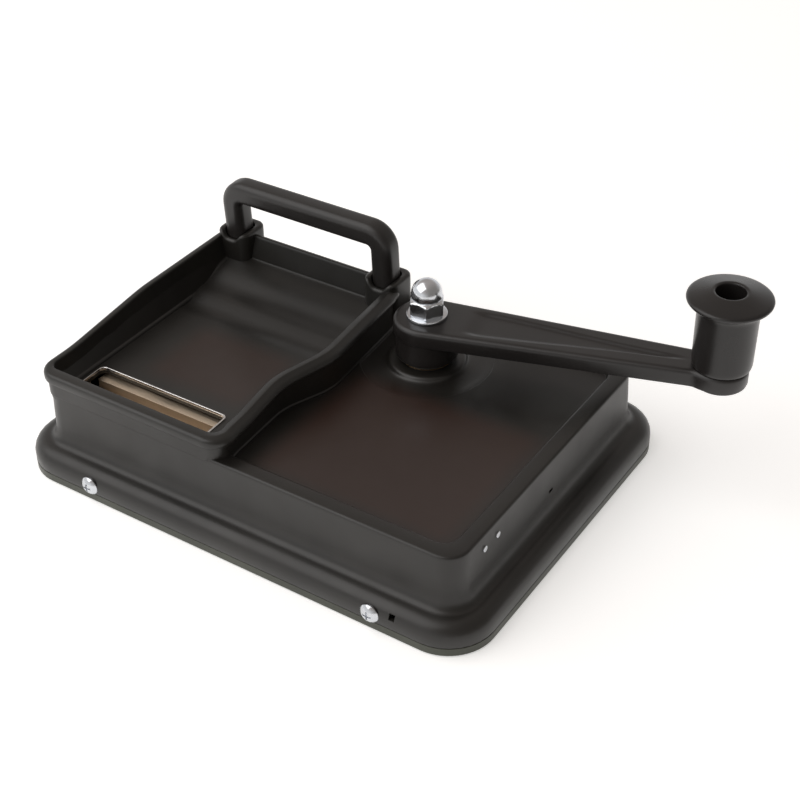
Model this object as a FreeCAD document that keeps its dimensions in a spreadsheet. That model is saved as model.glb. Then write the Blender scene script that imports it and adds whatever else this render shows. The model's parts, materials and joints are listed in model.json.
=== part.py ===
import FreeCAD, Part
import math
import os
import re
import Sketcher
from FreeCAD import Vector

# Hand-cranked tube filling press, in millimetres.
# Origin: centre of the base on the table plane. +X right along the long front side, +Y to the back, +Z up.
# Turning the crank clockwise pushes the spoon out through the nozzle and closes the packing bar.

DIMENSIONS = {
    # base and cover
    "base_length": 212,
    "base_width": 158,
    "base_corner": 19,
    "mat_thickness": 2.2,
    "pan_foot": 0.6,
    "pan_top": 3.8,
    "pan_wall": 2.2,
    "skirt_edge": 7,
    "skirt_round": 6,
    "wall_inset": 10,
    "wall_draft": 2,
    "wall_corner": 9,
    "wall_foot_round": 3.6,
    "rim_top": 36.3,
    "rim_width": 7,
    "panel_top": 34,
    "shell": 2.5,
    # hopper tray, all positions from the origin
    "tray_left": -95.9,
    "tray_front": -70.6,
    "tray_back": 52.5,
    "tray_right_front": -4.4,
    "tray_right_waist": -6.6,
    "tray_right_step": 1.8,
    "tray_right_end": -2.5,
    "tray_waist_y": -27,
    "tray_step_y": -6,
    "tray_floor": 35,
    "tray_floor_thickness": 2.2,
    "tray_rim_front": 46.5,
    "tray_rim_middle": 51.2,
    "tray_rim_back": 52.4,
    "tray_slope_start": -50,
    "tray_slope_end": -8,
    "bead_height": 4,
    "tray_corner": 9,
    "tray_bend": 14,
    "collar_corner": 7,
    "opening_corner": 5.6,
    "liner_corner": 5.5,
    "cavity_corner": 4,
    "tray_block": 25,
    "ramp_start": 12.8,
    "ramp_rise": 7.4,
    "slot_left": -86.3,
    "slot_right": -23.5,
    "slot_front": -62,
    "slot_back": -43.4,
    "trim_wall": 0.9,
    "trim_top": 35.6,
    "trim_corner": 2.6,
    # carrying handle and its two sockets
    "handle_left": -87.8,
    "handle_right": -11.2,
    "handle_y": 50.5,
    "handle_foot": 41,
    "handle_top": 78.4,
    "handle_section": 10,
    "handle_round": 3.2,
    "handle_bend_outer": 11.5,
    "handle_bend_inner": 4,
    "leg_screw_reach": 7,
    "handle_tilt": 3,
    "socket_half_width": 8,
    "socket_front": 42.5,
    "socket_back": 59,
    "socket_top": 54,
    "socket_round": 4.5,
    # crank
    "pivot_x": 20,
    "pivot_y": 32,
    "arm_angle": 15,
    "arm_length": 116,
    "arm_bottom": 48,
    "arm_top": 55,
    "arm_hub_radius": 13.5,
    "arm_tip_half": 8,
    "arm_end_radius": 10.3,
    "arm_boss_bottom": 37.8,
    "arm_boss_radius": 12.6,
    "arm_boss_draft": 2,
    "arm_edge_round": 1.4,
    "groove_depth": 0.8,
    "tenon": 9,
    "tenon_top": 52,
    "shaft_radius": 6,
    "shaft_bottom": 4.4,
    "stud_radius": 4,
    "nut_flats": 13,
    "nut_height": 15,
    "nut_hex_height": 6.5,
    "nut_dome_radius": 6.25,
    "washer_radius": 8.3,
    "washer_thickness": 1.6,
    "knob_radius_low": 11.5,
    "knob_radius_high": 11.6,
    "knob_flange_radius": 16.1,
    "knob_bottom": 55.3,
    "knob_top": 87.6,
    "knob_dome": 2.3,
    "knob_hole_radius": 5.6,
    "knob_hole_floor": 69,
    "spindle_radius": 4,
    "running_gap": 0.05,
    # gear pair that turns the crank's swing into the carriage's travel
    "gear_module": 1.5,
    "gear_teeth": 50,
    "gear_bottom": 9.5,
    "gear_thickness": 6,
    "gear_hub_radius": 10,
    "gear_hub_top": 20,
    "backlash": 0.14,
    "rack_teeth": 17,
    "crank_pitches": 14,
    "rack_back": -15,
    "rack_screw_reach": 6,
    # carriage, guide rods and spoon
    "rod_radius": 3,
    "rod_z": 10.5,
    "rod_front_y": -46,
    "rod_back_y": -27,
    "rod_left": -16,
    "rod_right": 92.4,
    "bracket_width": 6,
    "bracket_top": 15.5,
    "bush_radius": 4.5,
    "bush_length": 6,
    "carriage_left": 60,
    "carriage_length": 26,
    "carriage_bottom": 5.5,
    "carriage_top": 17,
    "post_width": 12,
    "post_top": 31,
    "spoon_y": -57.5,
    "spoon_z": 26.5,
    "spoon_radius": 3.4,
    "spoon_wall": 0.5,
    "spoon_tip": -91,
    "spoon_root": -24,
    "push_rod_radius": 2.45,
    # filling chamber, nozzle and packer
    "bed_left": -86.7,
    "bed_right": -21,
    "bed_front": -64.5,
    "bed_back": -38,
    "bed_thickness": 1.4,
    "jaw_thickness": 3.3,
    "jaw_top": 32.6,
    "nozzle_tip": -97,
    "nozzle_wall": 0.45,
    "nozzle_pocket": 6,
    "holder_left": -92.5,
    "holder_right": -88.2,
    "flange_thickness": 1.4,
    "bar_front": -47,
    "bar_depth": 10,
    "bar_right": -10,
    "bar_top": 31.4,
    "packer_travel": 7,
    "plate_bottom": 18,
    "plate_thickness": 2,
    "plate_left": -56,
    "plate_right": 21.5,
    "plate_front": -38,
    "plate_back": 6,
    "cam_pin_radius": 2.4,
    "cam_pin_x": 16,
    "cam_pin_y": -11.5,
    "guide_post_radius": 2.5,
    "guide_post_y": -28,
    # bearings and fasteners
    "upper_bush_radius": 8.5,
    "upper_bush_bottom": 24,
    "pivot_ring_radius": 15,
    "pivot_ring_top": 35.4,
    "bush_flange_radius": 11,
    "bush_flange": 0.8,
    "thrust_washer_radius": 10,
    "thrust_washer": 0.9,
    "clip_radius": 8.8,
    "clip_thickness": 0.9,
    "lower_flange_radius": 12,
    "lower_barrel_radius": 9,
    "side_screw_x": 66,
    "side_screw_z": 7.2,
    "side_screw_radius": 2,
    "side_screw_head": 4,
    "side_screw_seat": 1.6,
    "side_screw_neck": 3.3,
    "small_screw_radius": 1.5,
    "end_pin_z": 30,
}

# how far each level of the tray lies inside its outline: left, front, right, back
BEAD_INSET = (0, 0, 0, 0)
COLLAR_INSET = (0.7, 2.2, 2.0, 2.0)
OPENING_INSET = (2.1, 4.2, 5.0, 3.4)
LINER_INSET = (2.2, 4.3, 5.1, 3.5)
CAVITY_INSET = (3.4, 5.8, 6.6, 5.0)

# places that several parts share
SIDES = (("Left", "-side_screw_x"), ("Right", "side_screw_x"))
ENDS = (("Front", -1), ("Back", 1))
HANDLE_LEGS = (("Left", "handle_left"), ("Right", "handle_right"))
END_PIN_YS = (-41.2, -50.1)
ROD_YS = ("rod_front_y", "rod_back_y")
BRACKET_LEFTS = ("rod_left", "(rod_right - bracket_width)")
BRACKET_SCREW_YS = (-39.5, -33.5)
RACK_SCREW_XS = ("carriage_left + 6", "carriage_left + carriage_length - 6")
RACK_PITCH = "(pi*gear_module)"
PITCH_LINE = "(pivot_y - gear_module*gear_teeth/2)"
BED_TOP = "(spoon_z - spoon_radius - 0.1)"
RIVET_YS = ("bar_front + 2.5", "bar_front + bar_depth - 2.5")
GUIDE_POST_XS = (-52, -26)

doc = FreeCAD.newDocument("TubeFillingPress")
sheet = doc.addObject("Spreadsheet::Sheet", "Sizes")
nodes = []


def fill_sheet():
    for row, (alias, number) in enumerate(DIMENSIONS.items(), start=1):
        sheet.set(f"A{row}", alias)
        sheet.set(f"B{row}", str(number))
        sheet.setAlias(f"B{row}", alias)
    doc.recompute()


def link(text):
    """Turns the aliases in a formula into references to the sheet."""
    return re.sub(r"[a-z_]+", lambda word: f"Sizes.{word[0]}" if word[0] in DIMENSIONS else word[0], str(text))


def bind(obj, **formulas):
    for name, formula in formulas.items():
        obj.setExpression(name, link(formula))


def place(obj, x, y, z, turn=None, axis=Vector(0, 0, 1)):
    """Binds the object's position, and its turn in degrees about an axis."""
    if turn is not None:
        obj.Placement.Rotation = FreeCAD.Rotation(axis, 1)
        obj.setExpression("Placement.Rotation.Angle", link(turn))
    for name, formula in zip("xyz", (x, y, z)):
        obj.setExpression(f"Placement.Base.{name}", link(formula))


def size(alias):
    return float(sheet.get(alias))


def node(obj, label):
    """Marks a finished sub-part: its label names its file."""
    obj.Label = label
    nodes.append(obj)
    return obj


# ---- sketched solids ----

def new_body(name):
    return doc.addObject("PartDesign::Body", name)


def new_sketch(body, role, lift=None):
    sketch = body.newObject("Sketcher::SketchObject", f"{body.Name}Sketch")
    plane = next(part for part in body.Origin.OriginFeatures if part.Role == role)
    sketch.AttachmentSupport = [(plane, "")]
    sketch.MapMode = "FlatFace"
    if lift is not None:
        sketch.setExpression("AttachmentOffset.Base.z", link(lift))
    return sketch


def polygon(body, role, points, lift=None):
    """A closed outline whose corners are each tied to a pair of formulas."""
    sketch = new_sketch(body, role, lift)
    count = len(points)
    turns = [2 * math.pi * i / count for i in range(count)]
    start = [Vector(10 * math.cos(turn), 10 * math.sin(turn), 0) for turn in turns]
    for i in range(count):
        sketch.addGeometry(Part.LineSegment(start[i], start[(i + 1) % count]), False)
    for i in range(count):
        sketch.addConstraint(Sketcher.Constraint("Coincident", i, 2, (i + 1) % count, 1))
    for i, (first, second) in enumerate(points):
        for kind, formula, guess in (("DistanceX", first, start[i].x), ("DistanceY", second, start[i].y)):
            index = sketch.addConstraint(Sketcher.Constraint(kind, -1, 1, i, 1, guess))
            sketch.setExpression(f"Constraints[{index}]", link(formula))
    return sketch


def circle(body, x, y, radius, lift=None, role="XY_Plane"):
    sketch = new_sketch(body, role, lift)
    sketch.addGeometry(Part.Circle(Vector(1, 1, 0), Vector(0, 0, 1), 5), False)
    for kind, formula in (("DistanceX", x), ("DistanceY", y)):
        index = sketch.addConstraint(Sketcher.Constraint(kind, -1, 1, 0, 3, 1.0))
        sketch.setExpression(f"Constraints[{index}]", link(formula))
    index = sketch.addConstraint(Sketcher.Constraint("Radius", 0, 5))
    sketch.setExpression(f"Constraints[{index}]", link(radius))
    return sketch


def pad(body, sketch, length, taper=None, down=False, centred=False):
    feature = body.newObject("PartDesign::Pad", f"{body.Name}Pad")
    feature.Profile = sketch
    feature.Reversed = down
    feature.Midplane = centred
    bind(feature, Length=length)
    if taper is not None:
        bind(feature, TaperAngle=taper)
    doc.recompute()
    return feature


def pocket(body, sketch, length, up=False, centred=False):
    """Cuts away from the sketch's own side, or along its normal when up is set."""
    feature = body.newObject("PartDesign::Pocket", f"{body.Name}Pocket")
    feature.Profile = sketch
    feature.Reversed = up
    feature.Midplane = centred
    bind(feature, Length=length)
    before = feature.BaseFeature.Shape.Volume
    doc.recompute()
    if feature.Shape.Volume >= before:
        raise RuntimeError(f"{feature.Name} cuts nothing")
    return feature


def revolve(body, sketch):
    feature = body.newObject("PartDesign::Revolution", f"{body.Name}Revolution")
    feature.Profile = sketch
    feature.ReferenceAxis = (sketch, ["V_Axis"])
    feature.Angle = 360
    doc.recompute()
    return feature


def fillet(body, radius, wanted):
    """Rounds the edges that the test picks."""
    base = body.Tip
    names = [f"Edge{i + 1}" for i, edge in enumerate(base.Shape.Edges) if wanted(edge)]
    feature = body.newObject("PartDesign::Fillet", f"{body.Name}Fillet")
    feature.Base = (base, names)
    bind(feature, Radius=radius)
    doc.recompute()
    if "Invalid" in feature.State or not feature.Shape.isValid():
        raise RuntimeError(f"{feature.Name} failed")
    return feature


def upright(edge):
    """True for an edge that climbs steeply, such as a block's corner."""
    box = edge.BoundBox
    return box.ZLength > 3 * max(box.XLength, box.YLength) and box.ZLength > 0.5


def level_at(height):
    def test(edge):
        box = edge.BoundBox
        return box.ZLength < 0.01 and abs(box.ZMin - height) < 0.01
    return test


def near(x, y, reach=1.0):
    def test(edge):
        centre = edge.BoundBox.Center
        return upright(edge) and math.hypot(centre.x - x, centre.y - y) < reach
    return test


def rectangle(length, width):
    return [(f"-({length})/2", f"-({width})/2"), (f"({length})/2", f"-({width})/2"),
            (f"({length})/2", f"({width})/2"), (f"-({length})/2", f"({width})/2")]


def rounded_block(name, length, width, bottom, height, corner):
    body = new_body(name)
    pad(body, polygon(body, "XY_Plane", rectangle(length, width), bottom), height)
    fillet(body, corner, upright)
    return body


def prism(name, points, bottom, height):
    body = new_body(name)
    pad(body, polygon(body, "XY_Plane", points, bottom), height)
    return body


# ---- plain solids and their combinations ----

def box(name, low, high):
    """A block between two corners, each given as three formulas."""
    block = doc.addObject("Part::Box", name)
    for side, start, end in zip(("Length", "Width", "Height"), low, high):
        block.setExpression(side, link(f"({end}) - ({start})"))
    place(block, *low)
    return block


AXIS_TURN = {"x": (Vector(0, 1, 0), 90), "y": (Vector(1, 0, 0), -90)}


def cylinder(name, start, radius, length, along="z"):
    """A cylinder from its start point along +X, +Y or +Z."""
    shape = doc.addObject("Part::Cylinder", name)
    bind(shape, Radius=radius, Height=length)
    if along in AXIS_TURN:
        axis, turn = AXIS_TURN[along]
        shape.Placement.Rotation = FreeCAD.Rotation(axis, turn)
    place(shape, *start)
    return shape


def fuse(name, shapes):
    result = doc.addObject("Part::MultiFuse", name)
    result.Shapes = shapes
    return result


def common(name, shapes):
    result = doc.addObject("Part::MultiCommon", name)
    result.Shapes = shapes
    return result


def cut(name, base, tools):
    result = doc.addObject("Part::Cut", name)
    result.Base = base
    result.Tool = tools[0] if len(tools) == 1 else fuse(f"{name}Tools", tools)
    return result


def group(name, shapes):
    result = doc.addObject("Part::Compound", name)
    result.Links = shapes
    return result


# ---- base ----

def side_hole(name, x, direction, radius):
    """A hole for a side screw, through the skirt and the pan's tab behind it."""
    start = "-base_width/2 - 1" if direction < 0 else "base_width/2 - shell - 5"
    return cylinder(name, (x, start, "side_screw_z"), radius, "shell + 6", "y")


def make_base_pan():
    body = rounded_block("BasePan", "base_length", "base_width", "pan_foot", "pan_top - pan_foot",
                         "base_corner")
    inner = rounded_block("PanHollow", "base_length - 2*pan_wall", "base_width - 2*pan_wall",
                          "0", "mat_thickness", "base_corner - pan_wall")
    tabs = []
    holes = [inner]
    for side, x in SIDES:
        for end, direction in ENDS:
            near_face = "base_width/2 - shell - 0.1"
            faces = (f"{direction}*({near_face}) - 0.8 - {direction}*0.8",
                     f"{direction}*({near_face}) + 0.8 - {direction}*0.8")
            tabs.append(box(f"Tab{side}{end}", (f"{x} - 8", faces[0], "pan_top - 1"),
                            (f"{x} + 8", faces[1], "side_screw_z + 3")))
            holes.append(side_hole(f"TabHole{side}{end}", x, direction, "side_screw_radius"))
    for x in BRACKET_LEFTS:
        for y in BRACKET_SCREW_YS:
            holes.append(cylinder("PanScrewHole", (f"{x} + bracket_width/2", y, "0"),
                                  "small_screw_radius + 0.05", "pan_top + 1"))
    node(cut("BasePlate", fuse("PanAndTabs", [body] + tabs), holes), "base_plate")


def make_base_mat():
    body = rounded_block("BaseMat", "base_length - 2*pan_wall - 0.4", "base_width - 2*pan_wall - 0.4",
                         "0", "mat_thickness", "base_corner - pan_wall - 0.2")
    node(body, "base_mat")


def make_side_screws():
    """Four pan-head screws that hold the cover on the base."""
    screws = []
    for side, x in SIDES:
        for end, direction in ENDS:
            outer = f"{direction}*base_width/2"
            shank_start = outer if direction < 0 else f"{outer} - shell - 4"
            shank = cylinder(f"Shank{side}{end}", (x, shank_start, "side_screw_z"),
                             "side_screw_radius - running_gap", "shell + 4", "y")
            head = doc.addObject("Part::Sphere", f"Head{side}{end}")
            bind(head, Radius="side_screw_head*1.25")
            place(head, x, f"{outer} - {direction}*side_screw_head*0.75", "side_screw_z")
            neck_start = outer if direction < 0 else f"{outer} - side_screw_seat"
            neck = cylinder(f"HeadNeck{side}{end}", (x, neck_start, "side_screw_z"), "side_screw_neck",
                            "side_screw_seat", "y")
            slab_start = f"{outer} - 2.6" if direction < 0 else outer
            slab = cylinder(f"HeadSlab{side}{end}", (x, slab_start, "side_screw_z"),
                            "side_screw_head", "2.6", "y")
            dome = common(f"Dome{side}{end}", [head, slab])
            recess_start = f"{outer} - 2.6" if direction < 0 else f"{outer} + 0.9"
            recess_end = f"{outer} - 0.9" if direction < 0 else f"{outer} + 2.6"
            slots = [box(f"Slot{i}{side}{end}", (f"{x} - {w}", recess_start, f"side_screw_z - {h}"),
                         (f"{x} + {w}", recess_end, f"side_screw_z + {h}"))
                     for i, (w, h) in enumerate(((1.8, 0.4), (0.4, 1.8)))]
            screws.append(cut(f"Screw{side}{end}", fuse(f"ScrewBlank{side}{end}", [shank, neck, dome]), slots))
    node(group("SideScrews", screws), "side_screws")


# ---- cover ----

def wall_slope():
    return "(rim_top - skirt_edge - skirt_round)*tan(wall_draft*1deg)"


def tray_outline(left, front, right, back):
    """The tray's plan outline, moved inwards by the given amount on each side."""
    return [(f"tray_left + {left}", f"tray_front + {front}"),
            (f"tray_right_front - {right}", f"tray_front + {front}"),
            (f"tray_right_waist - {right}", "tray_waist_y"),
            (f"tray_right_step - {right}", "tray_step_y"),
            (f"tray_right_end - {right}", f"tray_back - {back}"),
            (f"tray_left + {left}", f"tray_back - {back}")]


def tray_prism(name, insets, bottom, height, corner):
    """The tray's outline as an upright block with its four outer corners rounded."""
    body = prism(name, tray_outline(*insets), bottom, height)
    left, front, right, back = insets
    corners = [(size("tray_left") + left, size("tray_front") + front),
               (size("tray_right_front") - right, size("tray_front") + front),
               (size("tray_right_end") - right, size("tray_back") - back),
               (size("tray_left") + left, size("tray_back") - back)]
    fillet(body, corner, lambda edge: any(near(x, y)(edge) for x, y in corners))
    bends = [(size("tray_right_waist") - right, size("tray_waist_y")),
             (size("tray_right_step") - right, size("tray_step_y"))]
    fillet(body, "tray_bend", lambda edge: any(near(x, y)(edge) for x, y in bends))
    return body


def rim_profile(name, drop):
    """Everything below the tray's rim line, which climbs from front to back."""
    body = new_body(name)
    points = [("-base_width", "0"), ("base_width", "0"),
              ("base_width", f"tray_rim_back - {drop}"), ("tray_slope_end", f"tray_rim_middle - {drop}"),
              ("tray_slope_start", f"tray_rim_front - {drop}"), ("-base_width", f"tray_rim_front - {drop}")]
    pad(body, polygon(body, "YZ_Plane", points), "2*base_length", centred=True)
    return body


def handle_socket(name, x, grow):
    """The block in a rear corner of the tray that takes one leg of the handle."""
    body = new_body(name)
    half = f"(socket_half_width + {grow})"
    low = f"socket_front - {grow}"
    high = f"socket_back + {grow}"
    points = [(f"{x} - {half}", low), (f"{x} + {half}", low), (f"{x} + {half}", high), (f"{x} - {half}", high)]
    pad(body, polygon(body, "XY_Plane", points, "panel_top"), "socket_top - panel_top")
    fillet(body, "socket_round", upright)
    return body


def make_cover_shell():
    """Skirt, ogee and drafted wall, with the sunk panel on top."""
    body = new_body("CoverShell")
    pad(body, polygon(body, "XY_Plane", rectangle("base_length", "base_width"), "pan_top"),
        "skirt_edge + skirt_round - pan_top")
    fillet(body, "base_corner", upright)
    ledge = size("skirt_edge") + size("skirt_round")
    fillet(body, "skirt_round", level_at(ledge))
    wall = rectangle("base_length - 2*wall_inset", "base_width - 2*wall_inset")
    pad(body, polygon(body, "XY_Plane", wall, "skirt_edge + skirt_round"),
        "rim_top - skirt_edge - skirt_round", taper="-wall_draft")
    rim = size("rim_top") - 0.01
    fillet(body, "wall_corner", lambda edge: edge.BoundBox.ZMax > rim and edge.BoundBox.ZLength > 9)
    foot = size("base_length") / 2 - size("wall_inset") + 0.1
    fillet(body, "wall_foot_round", lambda edge: level_at(ledge)(edge) and abs(edge.BoundBox.Center.x) < foot
           and edge.BoundBox.XMax < foot and edge.BoundBox.XMin > -foot)
    inner = f"2*(wall_inset + {wall_slope()} + rim_width)"
    sunk = rectangle(f"base_length - {inner}", f"base_width - {inner}")
    pocket(body, polygon(body, "XY_Plane", sunk, "rim_top"), "rim_top - panel_top")
    return body


def make_top_cover():
    shell = make_cover_shell()
    collar_blank = tray_prism("CollarBlank", COLLAR_INSET, "panel_top - 1", "tray_block", "collar_corner")
    collar = common("Collar", [collar_blank, rim_profile("CollarTop", "bead_height")])
    ring = cylinder("PivotRing", ("pivot_x", "pivot_y", "panel_top - 1"), "pivot_ring_radius",
                    "pivot_ring_top - panel_top + 1")
    boss = cylinder("PivotBoss", ("pivot_x", "pivot_y", "upper_bush_bottom"), "pivot_ring_radius - 2",
                    "panel_top - upper_bush_bottom")
    skirt_hollow = rounded_block("SkirtHollow", "base_length - 2*shell", "base_width - 2*shell",
                                 "0", "skirt_edge + skirt_round - shell", "base_corner - shell")
    inner = f"2*(wall_inset + {wall_slope()} + shell)"
    wall_hollow = rounded_block("WallHollow", f"base_length - {inner}", f"base_width - {inner}",
                                "0", "panel_top - shell", "wall_corner - shell")
    hollow = fuse("CoverHollow", [skirt_hollow, wall_hollow])
    hollowed = cut("HollowCover", fuse("SolidCover", [shell, collar, ring]), [hollow])
    body = fuse("CoverWithPivot", [hollowed, boss])
    flange_seat = cylinder("FlangeSeat", ("pivot_x", "pivot_y", "pivot_ring_top - bush_flange"),
                           "bush_flange_radius + 0.1", "bush_flange + 1")
    opening = tray_prism("TrayOpening", OPENING_INSET, "panel_top - shell - 1", "tray_block", "opening_corner")
    bush_hole = cylinder("BushHole", ("pivot_x", "pivot_y", "upper_bush_bottom - 1"), "upper_bush_radius",
                         "pivot_ring_top - upper_bush_bottom + 2")
    tools = [flange_seat, opening, bush_hole]
    for side, x in HANDLE_LEGS:
        tools.append(handle_socket(f"SocketRoom{side}", x, "0.1"))
    for side, x in SIDES:
        for end, direction in ENDS:
            tools.append(side_hole(f"SkirtHole{side}{end}", x, direction, "side_screw_radius + 0.1"))
            seat_start = "-base_width/2 - 1" if direction < 0 else "base_width/2 - side_screw_seat"
            tools.append(cylinder(f"ScrewSeat{side}{end}", (x, seat_start, "side_screw_z"),
                                  "side_screw_neck + 0.2", "side_screw_seat + 1", "y"))
    tools.append(box("FrontSquareHole", ("side_screw_x + 8", "-base_width/2 - 1", "side_screw_z + 0.9"),
                     ("side_screw_x + 10.4", "-base_width/2 + shell + 1", "side_screw_z + 3.3")))
    for y in END_PIN_YS:
        tools.append(cylinder("EndPinHole", ("base_length/2 - wall_inset - 5", y, "end_pin_z"),
                              "1.3", "8", "x"))
    tools.append(cylinder("EndVent", ("base_length/2 - wall_inset - 5", "-2", "22.4"), "1.2", "8", "x"))
    tools.append(cylinder("NozzlePort", ("tray_left - 2", "spoon_y", "spoon_z"), "nozzle_pocket", "8", "x"))
    node(cut("TopCover", body, tools), "top_cover")


def make_end_pins():
    """Two short slotted pins in the right-hand wall."""
    pins = []
    for y in END_PIN_YS:
        pins.append(cylinder("EndPin", ("base_length/2 - wall_inset - 4", y, "end_pin_z"), "1.25", "4.1", "x"))
    node(group("EndPins", pins), "end_pins")


# ---- hopper tray ----

def make_hopper_tray():
    blank = tray_prism("BeadBlank", BEAD_INSET, "panel_top", "tray_block", "tray_corner")
    bead = cut("Bead", common("BeadBand", [blank, rim_profile("BeadTop", "0")]),
               [rim_profile("BeadUnderside", "bead_height")])
    liner = common("Liner", [tray_prism("LinerBlank", LINER_INSET, "tray_floor - tray_floor_thickness",
                                        "tray_block", "liner_corner"), rim_profile("LinerTop", "0.001")])
    sockets = [handle_socket(f"Socket{side}", x, "0") for side, x in HANDLE_LEGS]
    cavity = tray_prism("TrayCavity", CAVITY_INSET, "tray_floor", "tray_block", "cavity_corner")
    ramp = new_body("Ramp")
    ramp_points = [("ramp_start", "tray_floor"), ("tray_back", "tray_floor"),
                   ("tray_back", "tray_floor + ramp_rise")]
    pad(ramp, polygon(ramp, "YZ_Plane", ramp_points), "2*base_length", centred=True)
    hollow = cut("TrayHollow", cavity, [ramp] + sockets)
    tools = [hollow]
    hole_low = ("slot_left - trim_wall - 0.05", "slot_front - trim_wall - 0.05", "tray_floor - 5")
    hole_high = ("slot_right + trim_wall + 0.05", "slot_back + trim_wall + 0.05", "tray_floor + 5")
    tools.append(box("TrimHole", hole_low, hole_high))
    for side, leg in HANDLE_LEGS:
        tools.append(box(f"LegHole{side}", (f"{leg} - handle_section/2 - 0.2", "handle_y - 7", "handle_foot"),
                         (f"{leg} + handle_section/2 + 0.2", "handle_y + 7", "socket_top + 1")))
        tools.append(cylinder(f"LegScrewHole{side}", (leg, "handle_y", "panel_top - 4"),
                              "small_screw_radius + 0.4", "20"))
    node(cut("HopperTray", fuse("TrayBlank", [bead, liner] + sockets), tools), "hopper_tray")


def make_slot_trim():
    """The bright steel liner around the slot in the tray's floor."""
    outer = new_body("TrimOuter")
    low = "slot_front - trim_wall"
    high = "slot_back + trim_wall"
    grown = [("slot_left - trim_wall", low), ("slot_right + trim_wall", low),
             ("slot_right + trim_wall", high), ("slot_left - trim_wall", high)]
    pad(outer, polygon(outer, "XY_Plane", grown, "tray_floor - tray_floor_thickness"),
        "trim_top - tray_floor + tray_floor_thickness")
    inner = new_body("TrimInner")
    opening = [("slot_left", "slot_front"), ("slot_right", "slot_front"),
               ("slot_right", "slot_back"), ("slot_left", "slot_back")]
    pad(inner, polygon(inner, "XY_Plane", opening, "tray_floor - 5"), "10")
    fillet(inner, "trim_corner", upright)
    node(cut("SlotTrim", outer, [inner]), "slot_trim")


# ---- carrying handle ----

def make_carry_handle():
    """A U of rounded square section whose feet stand in the tray's sockets."""
    body = new_body("CarryHandle")
    half = "(handle_right - handle_left)/2"
    rise = "(handle_top - handle_foot)"
    outer = f"({half} + handle_section/2)"
    inner = f"({half} - handle_section/2)"
    points = [(f"-{outer}", "0"), (f"-{inner}", "0"), (f"-{inner}", f"{rise} - handle_section"),
              (inner, f"{rise} - handle_section"), (inner, "0"), (outer, "0"), (outer, rise),
              (f"-{outer}", rise)]
    pad(body, polygon(body, "XZ_Plane", points), "handle_section", centred=True)
    reach = (size("handle_right") - size("handle_left") + size("handle_section")) / 2
    top = size("handle_top") - size("handle_foot")

    def across(edge, x, z):
        centre = edge.BoundBox.Center
        return edge.BoundBox.YLength > 5 and abs(abs(centre.x) - x) < 0.1 and abs(centre.z - z) < 0.1

    fillet(body, "handle_bend_outer", lambda edge: across(edge, reach, top))
    thickness = size("handle_section")
    fillet(body, "handle_bend_inner", lambda edge: across(edge, reach - thickness, top - thickness))
    half_depth = thickness / 2

    def on_face(edge):
        bounds = edge.BoundBox
        flat = bounds.YLength < 0.01 and abs(abs(bounds.Center.y) - half_depth) < 0.01
        return flat and bounds.ZMax > 0.1

    fillet(body, "handle_round", on_face)
    for x in (f"-{half}", half):
        hole = circle(body, x, "0", "small_screw_radius", "0")
        pocket(body, hole, "leg_screw_reach + 2", up=True)
    place(body, "(handle_left + handle_right)/2", "handle_y", "handle_foot + 0.3",
          "handle_tilt", Vector(1, 0, 0))
    node(body, "carry_handle")


def make_handle_screws():
    """Two screws from below, through the tray, into the handle's feet."""
    screws = []
    for side, leg in HANDLE_LEGS:
        drop_y = "leg_screw_reach*sin(handle_tilt*1deg)"
        drop_z = "leg_screw_reach*cos(handle_tilt*1deg)"
        shank = cylinder(f"LegShank{side}", ("0", "0", "0"), "small_screw_radius - running_gap",
                         "2*leg_screw_reach")
        place(shank, leg, f"handle_y + {drop_y}", f"handle_foot + 0.3 - {drop_z}",
              "handle_tilt", Vector(1, 0, 0))
        screws.append(shank)
    node(group("HandleScrews", screws), "handle_screws")


# ---- crank ----

def at_pivot(z):
    return ("pivot_x", "pivot_y", z)


def make_crank_shaft():
    round_part = cylinder("ShaftRound", at_pivot("shaft_bottom"), "shaft_radius",
                          "arm_boss_bottom - shaft_bottom")
    tenon = doc.addObject("Part::Box", "ShaftTenon")
    bind(tenon, Length="tenon", Width="tenon", Height="tenon_top - arm_boss_bottom")
    offset = "tenon/2*(cos(arm_angle*1deg) - sin(arm_angle*1deg))"
    lift = "tenon/2*(cos(arm_angle*1deg) + sin(arm_angle*1deg))"
    place(tenon, f"pivot_x - {offset}", f"pivot_y - {lift}", "arm_boss_bottom", "arm_angle")
    stud = cylinder("ShaftStud", at_pivot("tenon_top"), "stud_radius",
                    "arm_top + washer_thickness + 11 - tenon_top")
    pin_hole = cylinder("ShaftPinHole", ("pivot_x", "pivot_y - 15", "gear_hub_top - 2.2"),
                        "small_screw_radius", "30", "y")
    node(cut("CrankShaft", fuse("ShaftBlank", [round_part, tenon, stud]), [pin_hole]), "crank_shaft")


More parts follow.
